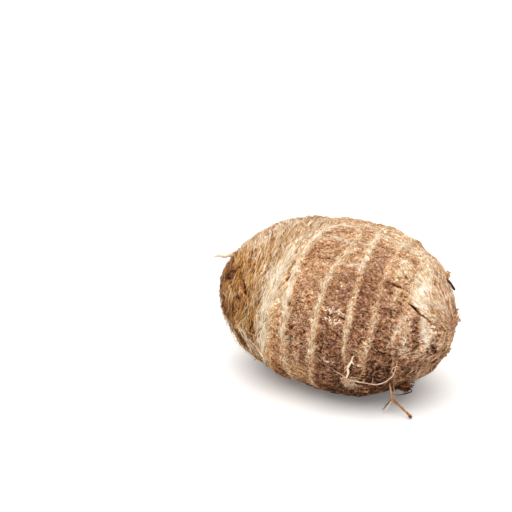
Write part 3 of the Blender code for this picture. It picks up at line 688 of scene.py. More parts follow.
def ring_maps(shapes, sides, levels, margin):
    """A flat map in which each skin has an upright strip with this margin: round it from left to right,
    and along it up, with a level for its root tip, each ring and its far tip."""
    used = 1 - 2 * margin
    left = (np.arange(shapes)[:, None] + margin + used * np.arange(sides) / sides) / shapes
    right = left + used / sides / shapes
    middle = (left + right) / 2
    lower, upper = levels[1:-2, None], levels[2:-1, None]
    u = np.stack([left, right, right, left], axis=-1)[:, None]
    v = np.stack([lower, lower, upper, upper], axis=-1)[None]
    root_u, far_u = np.stack([middle, right, left], axis=-1), np.stack([middle, left, right], axis=-1)
    pairs = ((u, v), (root_u, levels[[0, 1, 1]]), (far_u, levels[[-1, -2, -2]]))
    return [np.stack(np.broadcast_arrays(*pair), axis=-1) for pair in pairs]


# %% The bark itself, on the grid of places
def flat_list(grid):
    """The grid's values in the order of the bark's corners: crown tip, rows, scar tip."""
    return np.concatenate([grid[0, :1], grid[1:-1].reshape(-1, *grid.shape[2:]), grid[-1, :1]])


# Painted shade on the ground between the fibres: the bark is painted darker where the felt is open.
OPEN_FELT_SHADE = 0.13  # the ground between the fibres, where the felt is open
bark_maps = ring_maps(1, COLUMNS, np.linspace(0, 1, ROWS + 1), 0)
faces = ring_faces(1, ROWS - 1, COLUMNS)
bark = make_piece("corm_bark", flat_list(SKIN), faces, bark_maps, bark_look, "corm_skin", ["corm"])
set_marks(bark, flat_list(TONE - OPEN_FELT_SHADE * OPEN), flat_list(REDNESS), flat_list(GRAIN))

# %% [markdown]
# ## Fibre
# Leaf bases rot away to flat, curling fibres about a third of a millimetre wide. A hair system would draw
# them, but only meshes travel with the part, so each fibre is a closed, three-sided ribbon with a few
# stations. Its middle line starts somewhere on the bark and steps over it at a heading measured from the
# ring's direction, rising off the bark by a chosen amount. Thousands are worked out at once, as arrays
# of fibres by stations.

# %% Dry fibre's look, read from each ribbon's own map
# Across the map is the fibre's tone. Up it, eight bands hold eight rednesses, and each band runs from
# root to tip. A fibre is darkest at its root, where the others shade it.
BANDS = 8
fibre_look, tree, shader = new_material("dry leaf-base fibre")
coat_map = add_node(tree, "ShaderNodeUVMap", uv_map="OFBake").outputs["UV"]
parts = add_node(tree, "ShaderNodeSeparateXYZ", {"Vector": coat_map})
banded = add_node(tree, "ShaderNodeMath", {0: parts.outputs["Y"], 1: BANDS}, operation="MULTIPLY")
band = add_node(tree, "ShaderNodeMath", {0: banded.outputs[0]}, operation="FLOOR")
redness = add_node(tree, "ShaderNodeMath", {0: band.outputs[0], 1: BANDS - 1}, operation="DIVIDE")
along_fibre = add_node(tree, "ShaderNodeMath", {0: banded.outputs[0]}, operation="FRACT")
root_to_tip = {"Value": along_fibre.outputs[0], "From Max": 0.5, "To Min": -0.18, "To Max": 0.0}
root_shade = add_node(tree, "ShaderNodeMapRange", root_to_tip)
shaded = {0: parts.outputs["X"], 1: root_shade.outputs[0]}
tone = add_node(tree, "ShaderNodeMath", shaded, operation="ADD")
tree.links.new(fibre_colour(tree, tone.outputs[0], redness.outputs[0]), shader.inputs["Base Color"])
shader.inputs["Roughness"].default_value = 0.75
shader.inputs["Specular IOR Level"].default_value = 0.1


# %% From starting places to middle lines
ALONG_LIMIT = 0.995  # no fibre goes nearer to a pole
LEAST_RADIUS = 3 * MM  # near a pole, a step turns a fibre as it would here


def read(field, along, around):
    """A field of the grid at any place: the four nearest values, weighted by nearness."""
    row = np.arccos(-np.clip(along, -1, 1)) / math.pi * ROWS
    column = around / TAU % 1 * COLUMNS
    low_row = np.clip(row.astype(int), 0, ROWS - 1)
    low_column = column.astype(int) % COLUMNS
    next_column = (low_column + 1) % COLUMNS
    down, over = row - low_row, column - column.astype(int)
    if field.ndim > 2:
        down, over = down[..., None], over[..., None]
    upper = field[low_row, low_column] * (1 - over) + field[low_row, next_column] * over
    lower = field[low_row + 1, low_column] * (1 - over) + field[low_row + 1, next_column] * over
    return upper * (1 - down) + lower * down


def trail(along, around, heading, length, stations, curl):
    """Steps of length / (stations - 1) from each start. The heading is in radians from the ring's
    direction towards the scarred end, and turns by `curl` over the whole fibre."""
    step = length / (stations - 1)
    places = [(along, around)]
    for _ in range(stations - 1):
        along = along + np.sin(heading) * step / (HALF_LENGTH * MM)
        along = np.clip(along, -ALONG_LIMIT, ALONG_LIMIT)
        around = around + np.cos(heading) * step / np.maximum(body_radius(along), LEAST_RADIUS)
        heading = heading + curl / (stations - 1)
        places.append((along, around))
    return (np.stack(line, axis=1) for line in zip(*places))


# %% From middle lines to ribbons
HALF_STRIP = 0.004  # half of a fibre's width on the map


def tone_maps(tone, redness, reach, sides, cap_u, cap_v, cap_faces):
    """A fibre look's map for closed shapes: the tone across it, and up it the redness's band, in which
    `reach` says where each station is. A cap's corners are cap_u and cap_v half strips from the middle
    of its end."""
    band = np.clip(np.round(redness * (BANDS - 1)), 0, BANDS - 1)[:, None]
    level = (band + reach) / BANDS
    tone = np.clip(tone, 0.01, 0.99)[:, None]
    u = (tone + HALF_STRIP * np.array([-1, 1, 1, -1]))[:, None]
    v = np.stack([level[:, :-1], level[:, :-1], level[:, 1:], level[:, 1:]], axis=-1)
    maps = [np.stack(np.broadcast_arrays(u, v), axis=-1)[:, :, None].repeat(sides, axis=2)]
    for end, inward in ((level[:, :1], 1), (level[:, -1:], -1)):
        across, up = tone + HALF_STRIP * np.array(cap_u), end + inward * HALF_STRIP * np.array(cap_v)
        maps.append(np.stack([across, up], axis=-1).repeat(cap_faces, axis=0))
    return maps


def ribbons(centre, outward, width, tone, redness):
    """Three-sided tubes along lines of centre points (fibres, stations, 3). Each station has a corner to
    each side and one half a width outward. Both ends are closed."""
    fibres, stations = centre.shape[:2]
    ahead = unit(np.gradient(centre, axis=1))
    left = unit(np.cross(outward, ahead))
    up = np.cross(ahead, left)
    half = width[..., None] / 2
    corners = np.stack([centre - left * half, centre + left * half, centre + up * half * 1.1], axis=2)
    corners[..., 2] = np.maximum(corners[..., 2], BELLY)
    number = np.arange(fibres * stations * 3).reshape(fibres, stations, 3)
    near, far = number[:, :-1], number[:, 1:]
    near_next, far_next = np.roll(near, -1, axis=2), np.roll(far, -1, axis=2)
    quads = np.stack([near, near_next, far_next, far], axis=-1).reshape(-1, 4)
    root_cap, tip_cap = number[:, 0, ::-1], number[:, -1]
    maps = tone_maps(tone, redness, np.linspace(0.02, 0.98, stations), 3, (-1, 1, 0), (0, 0, 1), 1)
    return corners.reshape(-1, 3), [quads, root_cap, tip_cap], maps


# %% Laying fibres on the bark
DEEP_TONE = 0.22  # darker than this is a hollow
BRIGHTEST = 0.24  # a fibre is at most this much paler than the bark under it
FINER = 4  # steps to each step between stations, so that no hollow is missed


def lay_fibres(name, along, around, heading, length, curl, form, tone, redness):
    """A piece of fibres on the bark, leaving out those that would bridge a hollow or a crack. `form` is
    their lift and width, both (fibres, stations) in mm. tone and redness are added to the bark's own."""
    lift, width = form
    stations = lift.shape[1]
    steps = FINER * (stations - 1)
    fine_along, fine_around = trail(along, around, heading, length * MM, steps + 1, curl)
    bark_tone = read(TONE, fine_along, fine_around)
    clear = bark_tone.min(axis=1) > DEEP_TONE
    tone = np.minimum(tone, BRIGHTEST) + bark_tone.mean(axis=1)
    line = fine_along[:, ::FINER], fine_around[:, ::FINER]
    redness = redness + read(REDNESS, *line).mean(axis=1)
    outward = read(OUTWARD, *line)
    centre = read(SKIN, *line) + outward * (lift * MM)[..., None]
    shape = ribbons(centre[clear], outward[clear], width[clear] * MM, tone[clear], redness[clear])
    print(f"{name}: {clear.sum()} of {len(clear)} fibres kept clear of the hollows")
    return make_piece(name, *shape, fibre_look, "corm_skin")


TRIES = 12  # for each place wanted


def scatter(count, density, seed):
    """Random places on the bark, as many to a square mm as `density` says beside its highest: places
    with equal chances over the area are thinned by it."""
    dice = np.random.default_rng(seed)
    tries = count * TRIES
    along = dice.uniform(-0.99, 0.99, tries)
    around = dice.uniform(0, TAU, tries)
    chance = density(along, np.degrees(around)) * body_radius(along) / CORM_RADIUS
    kept = dice.uniform(0, 1, tries) < chance / chance.max()
    print("places found:", kept.sum(), "for", count)
    return along[kept][:count], around[kept][:count], dice


def either_way(dice, count):
    """Half a turn for every other fibre, as a fibre may lie either way round."""
    return np.where(dice.uniform(size=count) < 0.5, 0, math.pi)


def taper(stations, root=0.55, tip=0.15, fullest=0.4):
    """A fibre's width from root to tip, as a part of its greatest."""
    share = np.linspace(0, 1, stations)
    return np.interp(share, [0, fullest, 1], [root, 1, tip])


def fibre_form(dice, count, stations, lift, sink, curl_up, width, calm=1.0, **tapered):
    """Lift and width of fibres, in mm. Both ends are tucked in by sink * (2s - 1)**8, and the tip curls
    up by a random height times s**2, for s from 0 at the root to 1 at the tip."""
    share = np.linspace(0, 1, stations)
    lifts = dice.uniform(*lift, count)[:, None] - sink * np.linspace(-1, 1, stations) ** 8
    curling = (dice.exponential(curl_up, count) * calm)[:, None] * share**2
    return lifts + curling, dice.uniform(*width, count)[:, None] * taper(stations, **tapered)


# %% [markdown]
# ## The crown's coat
# The crown keeps its leaf bases as a shaggy coat that runs round it. The coat's own pole lies a little
# nearer than the crown's, so its fibres cross the rings more steeply the closer they are to the tip, and
# they go together in tufts a few millimetres wide.

# %% The crown's coat of long fibres
COAT_COUNT = 7800
COAT_POLE = 86  # degrees round, where the coat's pole lies and its fibres run along the rings


def coat_heading(along, degrees):
    """Tilt from the ring's direction: more towards the tip, none where the coat's pole is in line."""
    steepness = np.radians(np.interp(along, [-0.95, -0.7, -0.5, -0.3, -0.15], [75, 52, 36, 16, 4]))
    return steepness * np.sin(np.radians(COAT_POLE - degrees))


def coat_density(along, degrees):
    """Even over the crown, thinning out towards the wide ring."""
    return np.interp(along, [-0.99, -0.9, -0.34, -0.24, -0.16], [0.7, 1, 1, 0.35, 0])


# Here and in the other fibre pieces, lengths, lifts and widths are in mm, and headings in radians.
along, around, dice = scatter(COAT_COUNT, coat_density, 101)
count, degrees = len(along), np.degrees(around)
start_mm = read(bare_mm, along, around)
length = dice.uniform(3.5, 9.0, count) * np.interp(along, [-0.95, -0.6], [0.6, 1])
heading = coat_heading(along, degrees) + 0.16 * ripple(start_mm, 7, 102)
heading += dice.normal(0, 0.13, count) + either_way(dice, count)
tufted = read(GRAIN, along, around) * np.array([1.0, 0.3, 0.3])
uneven = np.interp(degrees, [0, 40, 70, 180, 320, 360], [0.12, 0.14, 0.22, 0.22, 0.20, 0.12])
tone = 0.15 * ripple(tufted, 1.6, 103) + 0.01 + dice.normal(0, 1, count) * uneven
redness = dice.normal(0, 0.15, count)
form = fibre_form(dice, count, 5, (0.0, 0.55), 0.25, 0.3, (0.20, 0.40))
curl = dice.normal(0, 0.3, count)
lay_fibres("crown_coat", along, around, heading, length, curl, form, tone, redness)

# %% [markdown]
# ## Ring fibres
# Each ring is where a leaf's fibres tore off, so it is a band of short pale fibres lying along it, most
# where the ring is palest. The same goes for the pale streaks and the bleached scar. Places are drawn
# along each stroke's route, more where it is wide and strong, and each fibre takes the route's direction.

# %% Pale fibres along the rings and streaks
def along_routes(seed):
    """Random places along every stroke that has hairs, with the route's heading there: spans are filled
    by length * width * strength, and places spread across as a normal curve."""
    dice = np.random.default_rng(seed)
    found = []
    for tone, _, _, per_mm2, hair_length, hair_turn, route in STROKES.values():
        if per_mm2 == 0:
            continue
        for start, end in zip(route, route[1:]):
            radius = float(body_radius(np.array((start[0] + end[0]) / 2))) / MM
            span_x = (end[0] - start[0]) * HALF_LENGTH
            span_y = math.radians(end[1] - start[1]) * radius
            span = math.hypot(span_x, span_y)
            area = span * (start[2] + end[2]) * (start[3] + end[3]) / 2
            number = dice.poisson(area * per_mm2)
            share = dice.uniform(0, 1, number)
            half_width, strength = between(start, end, share)
            aside = dice.normal(0, 0.55, number) * half_width
            x = start[0] * HALF_LENGTH + span_x * share - span_y / span * aside
            y = math.radians(start[1]) * radius + span_y * share + span_x / span * aside
            heading = math.atan2(span_x, span_y) + math.radians(hair_turn)
            facts = x / HALF_LENGTH, y / radius, heading, tone, hair_length, strength
            found.append(np.stack(np.broadcast_arrays(*facts)))
    return np.concatenate(found, axis=1), dice


(along, around, heading, tone, length, strength), dice = along_routes(201)
count = len(along)
start_mm = read(bare_mm, along, around)
heading = heading + 0.20 * ripple(start_mm, 4, 202) + dice.normal(0, 0.14, count)
heading += either_way(dice, count)
length = length * dice.uniform(0.5, 1.3, count)
paler = np.maximum(tone - read(TONE, along, around), 0)
tone = paler * strength * 0.8 + dice.normal(0.02, 0.15, count)
redness = dice.normal(0, 0.15, count)
form = fibre_form(dice, count, 4, (0.0, 0.35), 0.25, 0.15, (0.18, 0.32))
curl = dice.normal(0, 0.35, count)
lay_fibres("ring_fibres", along, around, heading, length, curl, form, tone, redness)

# %% [markdown]
# ## Felt between the rings
# Between the rings only broken bits of fibre are left, one to three millimetres long. They lie across
# from ring to ring more often than along, and curl up at their ends, which is what makes the bark look
# scurfy.

# %% Short matted fibres
FELT_COUNT = 14000
SHEET_HEADING = math.radians(57)  # of the long crack


def in_sheet(along, degrees):
    """True above the long crack, where the fibres keep its direction in a smooth sheet, still whole."""
    return (along > 0.70) & (np.abs(degrees - 20) < 42)


def felt_density(along, degrees):
    """Most between the rings, a quarter as much on them, and less where the felt is open."""
    cleared = 1 - 0.75 * np.clip(read(PALE, along, np.radians(degrees)), 0, 1)
    cleared = cleared * (1 - 0.25 * read(OPEN, along, np.radians(degrees)))
    return cleared * np.interp(along, [-0.34, -0.24, -0.1, 0.0, 0.95, 0.99], [0, 0.4, 0.8, 1, 1, 0.6])


along, around, dice = scatter(FELT_COUNT, felt_density, 301)
count = len(along)
start_mm = read(bare_mm, along, around)
heading = math.pi / 2 + 0.45 * ripple(start_mm, 5, 302) + dice.normal(0, 0.65, count)
opened = read(OPEN, along, around)
heading += np.maximum(along > 0.68, opened) * dice.uniform(-1.3, 1.3, count)
sheet = in_sheet(along, np.degrees(around))
heading = np.where(sheet, SHEET_HEADING + dice.normal(0, 0.22, count), heading)
heading += either_way(dice, count)
length = dice.uniform(0.9, 2.6, count) * np.where(sheet, 1.5, 1.0)
tone = 0.11 * ripple(start_mm, 1.5, 303) + 0.03 + dice.normal(0, 0.10, count) * (1 + 1.9 * opened)
tone = np.where(sheet, 0.6 * tone, tone)
redness = dice.normal(0.03, 0.10, count)
calm = np.where(sheet, 0.4, 1.0)
form = fibre_form(
    dice, count, 3, (-0.02, 0.16), 0.12, 0.14, (0.18, 0.34), calm=calm, tip=0.3, fullest=0.5
)
curl = dice.normal(0, 1.2, count) * np.where(sheet, 0.3, 1.0)
lay_fibres("bark_felt", along, around, heading, length, curl, form, tone, redness)

# %% [markdown]
# ## Scurf
# Over the felt lies scurf: flakes of cork and bits of fibre of about a millimetre or less, most of them
# paler than what they lie on. They are the same ribbons with two stations each, so a great many stay
# cheap.

# %% Pale scurf
SCURF_COUNT = 12000


def scurf_density(along, degrees):
    """In drifts, more where the felt is open, and few on the coat and in the sheet."""
    drifts = np.clip(0.6 + 0.5 * ripple(read(bare_mm, along, np.radians(degrees)), 6, 402), 0.05, 1)
    drifts = drifts * (0.3 + 0.7 * read(OPEN, along, np.radians(degrees)))
    drifts = drifts * np.where(in_sheet(along, degrees), 0.3, 1.0)
    return drifts * np.interp(along, [-0.2, 0.0, 0.95, 0.99], [0.1, 1, 1, 0.5])


along, around, dice = scatter(SCURF_COUNT, scurf_density, 401)
count = len(along)
heading = dice.uniform(0, TAU, count)
length = dice.uniform(0.4, 1.1, count)
tone = dice.normal(0.12, 0.14, count)
redness = dice.normal(0.1, 0.15, count)
lift = dice.uniform(0.02, 0.20, count)[:, None] + np.array([-0.05, 0.08])
width = dice.uniform(0.22, 0.45, count)[:, None] * np.array([1.0, 0.5])
lay_fibres("bark_scurf", along, around, heading, length, 0.0, (lift, width), tone, redness)

# %% [markdown]
# ## Roots
# The corm's own roots have dried to stiff, wrinkled strings. Each follows a few listed places,
# with a smooth line through them, and an oval carried along the line gives its skin: wide where the root
# has a knot, thin at its tip. The same carried oval, made very flat, later gives the husk flakes, and
# made short it gives crumbs, so it is worked out for many shapes at once.

# %% A smooth line, an oval carried along it, and its marks
def smooth_line(points, stations):
    """A Catmull-Rom line: between b and c, with a before and d after, it is
    b + (c - a) t / 2 + (2a - 5b + 4c - d) t**2 / 2 + (3b - a - 3c + d) t**3 / 2."""
    points = np.asarray(points, float)
    before, after = 2 * points[:1] - points[1:2], 2 * points[-1:] - points[-2:-1]
    padded = np.concatenate([before, points, after])
    reach = np.linspace(0, len(points) - 1, stations)
    span = np.minimum(reach.astype(int), len(points) - 2)
    t = (reach - span)[:, None]
    a, b, c, d = (padded[span + i] for i in range(4))
    bend = (2 * a - 5 * b + 4 * c - d) * t**2 + (3 * b - a - 3 * c + d) * t**3
    return b + ((c - a) * t + bend) / 2


def over_bark(route, stations):
    """A smooth line over the bark, through places of (along, degrees round, height in mm)."""
    along, degrees, height = smooth_line(route, stations).T
    around = np.radians(degrees)
    return read(SKIN, along, around) + read(OUTWARD, along, around) * height[:, None] * MM


def spot(along, degrees):
    """One place on the bark, and the direction outward there."""
    at = np.array([along]), np.radians([degrees])
    return read(SKIN, *at)[0], read(OUTWARD, *at)[0]


def carried(line, up, wide, thick, sides, swell=1.0, cup=0.0):
    """Closed skins round lines (shapes, stations, 3): at each station a corner every TAU / sides, at
    left * wide * cos(turn) + up * thick * sin(turn), times `swell`, with the edges raised by
    cup * cos(turn)**2. Each shape's list is its root tip, its corners station by station, its far tip."""
    ahead = unit(np.gradient(line, axis=1))
    left = unit(np.cross(up, ahead))
    upward = np.cross(ahead, left)
    turn = np.arange(sides) * TAU / sides
    across = (wide[..., None] * np.cos(turn) * swell)[..., None]
    above = thick[..., None] * np.sin(turn) * swell + np.asarray(cup)[..., None] * np.cos(turn) ** 2
    corners = line[:, :, None] + left[:, :, None] * across + upward[:, :, None] * above[..., None]
    root_tip = line[:, :1] - ahead[:, :1] * thick[:, :1, None]
    far_tip = line[:, -1:] + ahead[:, -1:] * thick[:, -1:, None]
    points = np.concatenate([root_tip, corners.reshape(len(line), -1, 3), far_tip], axis=1)
    points[..., 2] = np.maximum(points[..., 2], BELLY)
    return points.reshape(-1, 3)


SKIN_MARGINS = 0.01, 0.04, 0.05  # of a strip on the map: beyond a tip, beyond the rings, beside it
GRAIN_APART, GRAIN_RADIUS = 7.0, 0.5  # mm, from one shape's grain to the next one's, and round each


def make_carried(name, points, tone, redness, length, sides, look, slot, replaces):
    """A piece of carried shapes, with the attributes of the flecked looks: tone is (shapes, stations),
    redness one number or one a shape, and the grain runs along each shape, apart from the others'."""
    shapes, stations = tone.shape
    tip, end, side = SKIN_MARGINS
    levels = np.array([tip, *np.linspace(end, 1 - end, stations), 1 - tip])
    maps = ring_maps(shapes, sides, levels, side)
    piece = make_piece(name, points, ring_faces(shapes, stations, sides), maps, look, slot, replaces)
    tones = np.concatenate([tone[:, :1], np.repeat(tone, sides, axis=1), tone[:, -1:]], axis=1)
    turn = np.tile(np.arange(sides) * TAU / sides, stations)
    share = np.repeat(np.linspace(0, 1, stations), sides)
    share, turn = (np.concatenate([row[:1], row, row[-1:]]) for row in (share, turn))
    beside = np.arange(shapes)[:, None] * GRAIN_APART
    round_it = (beside + GRAIN_RADIUS * wave for wave in (np.cos(turn), np.sin(turn)))
    grain = np.stack(np.broadcast_arrays(share * length, *round_it), axis=-1)
    rednesses = np.broadcast_to(np.reshape(redness, (-1, 1)), tones.shape)
    set_marks(piece, tones.ravel(), rednesses.ravel(), grain.reshape(-1, 3))


# %% Wrinkled rootlet skin, and a piece of several rootlets
rootlet_look = flecked_look(
    "shrivelled rootlet skin", fleck_mm=0.35, mottle_mm=1.1, streak_mm=(0.16, 1.6),
    swings=(0.30, 0.30, 0.40), bump_mm=0.08,
)
ROOT_STATIONS = 44
ROOT_SIDES = 9
WRINKLE, KNOT, WANDER = 0.10, 0.35, 0.07  # of the radius
KNOT_SPREAD = 0.6  # of a knot, on the stations beside it
KNOT_DARKER = 0.10


def make_rootlets(name, lines, radii, tones, redness, seed, replaces=(), slot="cream_root"):
    """Rootlets in one piece. Each line has points in metres, its radius a few values in mm spread evenly
    along it, and its tone a few values too. Wrinkles and small knots make the skin uneven."""
    dice = np.random.default_rng(seed)

    def spread(rows):
        """Each row's values, spread evenly over the stations."""
        share = np.linspace(0, 1, ROOT_STATIONS)
        return np.stack([np.interp(share, np.linspace(0, 1, len(row)), row) for row in rows])

    line = np.stack([smooth_line(points, ROOT_STATIONS) for points in lines])
    length = (np.linalg.norm(np.diff(line, axis=1), axis=2).sum(axis=1) / MM).mean()
    radius = spread(radii)
    knots = dice.uniform(0, 1, radius.shape) ** 6 * KNOT
    knots = knots + np.roll(knots, 1, axis=1) * KNOT_SPREAD + np.roll(knots, -1, axis=1) * KNOT_SPREAD
    furrows = dice.normal(0, WRINKLE, (len(line), 1, ROOT_SIDES))
    dents = dice.normal(0, WRINKLE * 0.6, (*radius.shape, ROOT_SIDES))
    swell = 1 + knots[..., None] + furrows + dents
    line = line + dice.normal(0, WANDER, line.shape) * radius[..., None] * MM
    up = unit(np.cross(np.gradient(line, axis=1), [0.2, 0.3, 1.0]))
    points = carried(line, up, radius * MM, radius * MM, ROOT_SIDES, swell)
    tone = spread(tones) + dice.normal(0, 0.04, radius.shape) - KNOT_DARKER * knots
    make_carried(name, points, tone, redness, length, ROOT_SIDES, rootlet_look, slot, replaces)


# %% The trailing root, round the underside, with its spurs and the loop it ends in
TRAIL = (
    (0.3, 109, 0.1), (0.33, 111.5, 0.5), (0.385, 115, 0.7), (0.43, 118, 0.8), (0.485, 120.5, 0.8),
    (0.55, 124.5, 0.9), (0.605, 126, 1), (0.645, 124, 1), (0.672, 118.5, 0.9), (0.692, 112, 0.8),
    (0.702, 103.5, 0.3),
)
SPURS = (
    ((0.5, 121.3, 0.8), (0.508, 119.6, 1), (0.512, 117.8, 0.8)),
    ((0.552, 124.3, 0.9), (0.56, 121.6, 0.8), (0.563, 118.5, 0.3)),
    ((0.356, 113, 0.6), (0.34, 115, 0.6), (0.32, 116.5, 0.3)),
    ((0.682, 116, 0.9), (0.672, 112.5, 1), (0.682, 108.5, 0.9), (0.704, 108, 0.8), (0.704, 112.5, 0.8)),
)
make_rootlets(
    "trailing_rootlet",
    [over_bark(route, 12) for route in (TRAIL, *SPURS)],
    radii=[
        (0.10, 0.16, 0.21, 0.20, 0.19, 0.19, 0.18, 0.12), (0.20, 0.14, 0.06), (0.14, 0.10, 0.04),
        (0.16, 0.12, 0.06), (0.13, 0.14, 0.13, 0.10),
    ],
    tones=[
        (0.48, 0.66, 0.76, 0.78, 0.82, 0.80, 0.72), (0.74, 0.66), (0.70, 0.58), (0.7, 0.6), (0.74, 0.68),
    ],
    redness=1.00, seed=501, replaces=["trailing_root"],
)

# %% The stub, stouter and paler, with a fork at its top and a lobe halfway down
STUB = (
    (0.446, 97, 0.3), (0.438, 98.6, 1), (0.434, 101, 1.1), (0.418, 104.8, 1.1), (0.413, 107.5, 1),
    (0.417, 110.8, 1), (0.405, 115, 1),
)
STUB_TWIGS = (
    ((0.434, 100.5, 1), (0.444, 101.8, 1.2), (0.452, 103.6, 1)),
    ((0.414, 104.5, 1.1), (0.398, 106.3, 1.1), (0.39, 109, 0.6)),
    ((0.41, 107.5, 1.1), (0.396, 110, 0.9), (0.386, 113.5, 0.4)),
)
make_rootlets(
    "stub_rootlet",
    [over_bark(route, 10) for route in (STUB, *STUB_TWIGS)],
    radii=[
        (0.12, 0.24, 0.27, 0.36, 0.28, 0.38, 0.30), (0.16, 0.20, 0.08), (0.22, 0.20, 0.08),
        (0.24, 0.18, 0.06),
    ],
    tones=[(0.86, 0.90, 0.86, 0.80), (0.88, 0.80), (0.78, 0.70), (0.74, 0.62)],
    redness=0.75, seed=502, replaces=["root_stub"],
)

# %% The twisted rootlet beside it, and its broken scale
TWIST = (
    (0.54, 98.5, 0.2), (0.52, 101, 0.6), (0.501, 104.3, 0.7), (0.512, 108, 0.7), (0.5, 112, 0.6),
    (0.486, 115.6, 0.5), (0.51, 116.6, 0.3),
)
SCALE = ((0.47, 105.2, 0.2), (0.482, 104, 0.6), (0.494, 104.8, 0.5))
make_rootlets(
    "twisted_rootlet",
    [over_bark(TWIST, 16), over_bark(SCALE, 6)],
    radii=[(0.08, 0.14, 0.15, 0.16, 0.13, 0.14, 0.10), (0.20, 0.38, 0.24)],
    tones=[(0.50, 0.58, 0.66, 0.62, 0.54, 0.60), (0.86, 0.82)],
    redness=0.7, seed=503,
)

# %% The side root, which leaves the crown's shoulder almost level
side_low, side_high = (np.array(corner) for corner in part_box("side_root"))
side_start, _ = spot(-0.867, 48)
side_tip = np.array([side_low[0] + 0.2 * MM, side_low[1] + 0.2 * MM, (side_low[2] + side_high[2]) / 2])
WAVES = ((0, 0), (0.28, 0.35), (0.52, -0.10), (0.76, 0.35), (1, 0))  # share of the way, rise in mm
up_mm = np.array([0.0, 0.0, 1.0]) * MM
side_line = [side_start + (side_tip - side_start) * share + up_mm * rise for share, rise in WAVES]
side_twig = [side_line[3], side_line[3] + np.array([-0.9, -0.5, 0.7]) * MM]
make_rootlets(
    "side_rootlet",
    [side_line, side_twig],
    radii=[(0.62, 0.56, 0.50, 0.50, 0.38, 0.20), (0.22, 0.08)],
    tones=[(0.70, 0.82, 0.86, 0.82), (0.80, 0.70)],
    redness=0.85, seed=504, replaces=["side_root"],
)

# %% The forked root, which hangs from the underside and stands on its two legs
fork_low, fork_high = (np.array(corner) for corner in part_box("forked_root"))
stem_top, outward = spot(0.655, 136)
fork = np.array([fork_low[0] + 4.0 * MM, fork_low[1] + 0.35 * MM, 5.6 * MM])
leg_tip = np.array([fork_high[0] - 0.7 * MM, fork[1] + 0.1 * MM, 0.85 * MM])
thin_tip = np.array([fork_low[0] + 0.2 * MM, fork[1] + 0.5 * MM, 0.42 * MM])
stem = [
    stem_top + (fork - stem_top) * share + outward * bulge * MM
    for share, bulge in ((0, 0), (0.3, 0.5), (0.65, 0.3), (1, 0))
]
leg = [fork, *[fork + (leg_tip - fork) * share + up_mm * 0.3 for share in (0.2, 0.5, 0.8)], leg_tip]
thin_leg = [fork, fork + (thin_tip - fork) * 0.5 + up_mm * 0.35, thin_tip]
faded_leg = [fork + np.array(reach) * MM for reach in ((0, 0, 0), (-0.9, -0.4, -2.4), (-2.6, -1.0, -5.2))]
beside = np.array([1.35, 0.1, 0.0]) * MM
second_stem = [point + beside for point in stem[:3]] + [fork + np.array([0.35, 0.0, 0.5]) * MM]
# A dark twig leaves the stem level and curves up under the ragged flake.
TWIG = ((0, 0), (1.6, -0.3), (3.3, 0.0), (4.9, 0.5), (6.2, 1.0))  # mm along it, mm up
level_mm = np.array([0.84, 0.54, 0.0]) * MM
twig_start = fork + level_mm * 0.6 + up_mm * 2.1
twig = [twig_start + level_mm * out + up_mm * rise for out, rise in TWIG]
make_rootlets(
    "forked_rootlet",
    [stem, leg, thin_leg, second_stem, faded_leg, twig],
    radii=[
        (0.28, 0.28, 0.27, 0.30, 0.42), (0.46, 0.52, 0.43, 0.39, 0.38, 0.37, 0.42, 0.62),
        (0.20, 0.16, 0.14, 0.10), (0.14, 0.17, 0.16, 0.12), (0.16, 0.12, 0.06),
        (0.12, 0.17, 0.22, 0.26, 0.20),
    ],
    tones=[
        (0.60, 0.70, 0.66, 0.50), (0.46, 0.38, 0.40, 0.47, 0.52, 0.50, 0.44, 0.22), (0.42, 0.28, 0.20),
        (0.50, 0.58, 0.56), (0.80, 0.88, 0.92), (0.30, 0.20, 0.14, 0.10, 0.16),
    ],
    redness=[0.85, 0.43, 0.60, 0.85, 0.30, 0.50], seed=505, replaces=["forked_root"], slot="ochre_root",
)

# %% [markdown]
# ## Husk flakes
# Scraps of the papery husk still hang on by one edge. A scrap is a very flat oval carried along a short
# line that leaves the bark, cupped a little, with its two edges torn to different widths. They are thin
# and brown, some nearly black, and read as ragged spots on the outline.

# %% Three ragged scraps of husk
husk_look = flecked_look(
    "papery husk", fleck_mm=0.5, mottle_mm=1.4, streak_mm=(0.25, 2.5), swings=(0.35, 0.30, 0.45),
    bump_mm=0.1,
)
HUSK_STATIONS = 30
HUSK_SIDES = 16
HUSK_HALF_THICKNESS = 0.17  # mm
HUSK_LENGTH = 5.0  # mm, a usual one, for the look's streaks
TORN, CUPPED, ROOTED = 0.22, 0.22, 0.2  # edge as a share of the width, cup too, mm under the bark


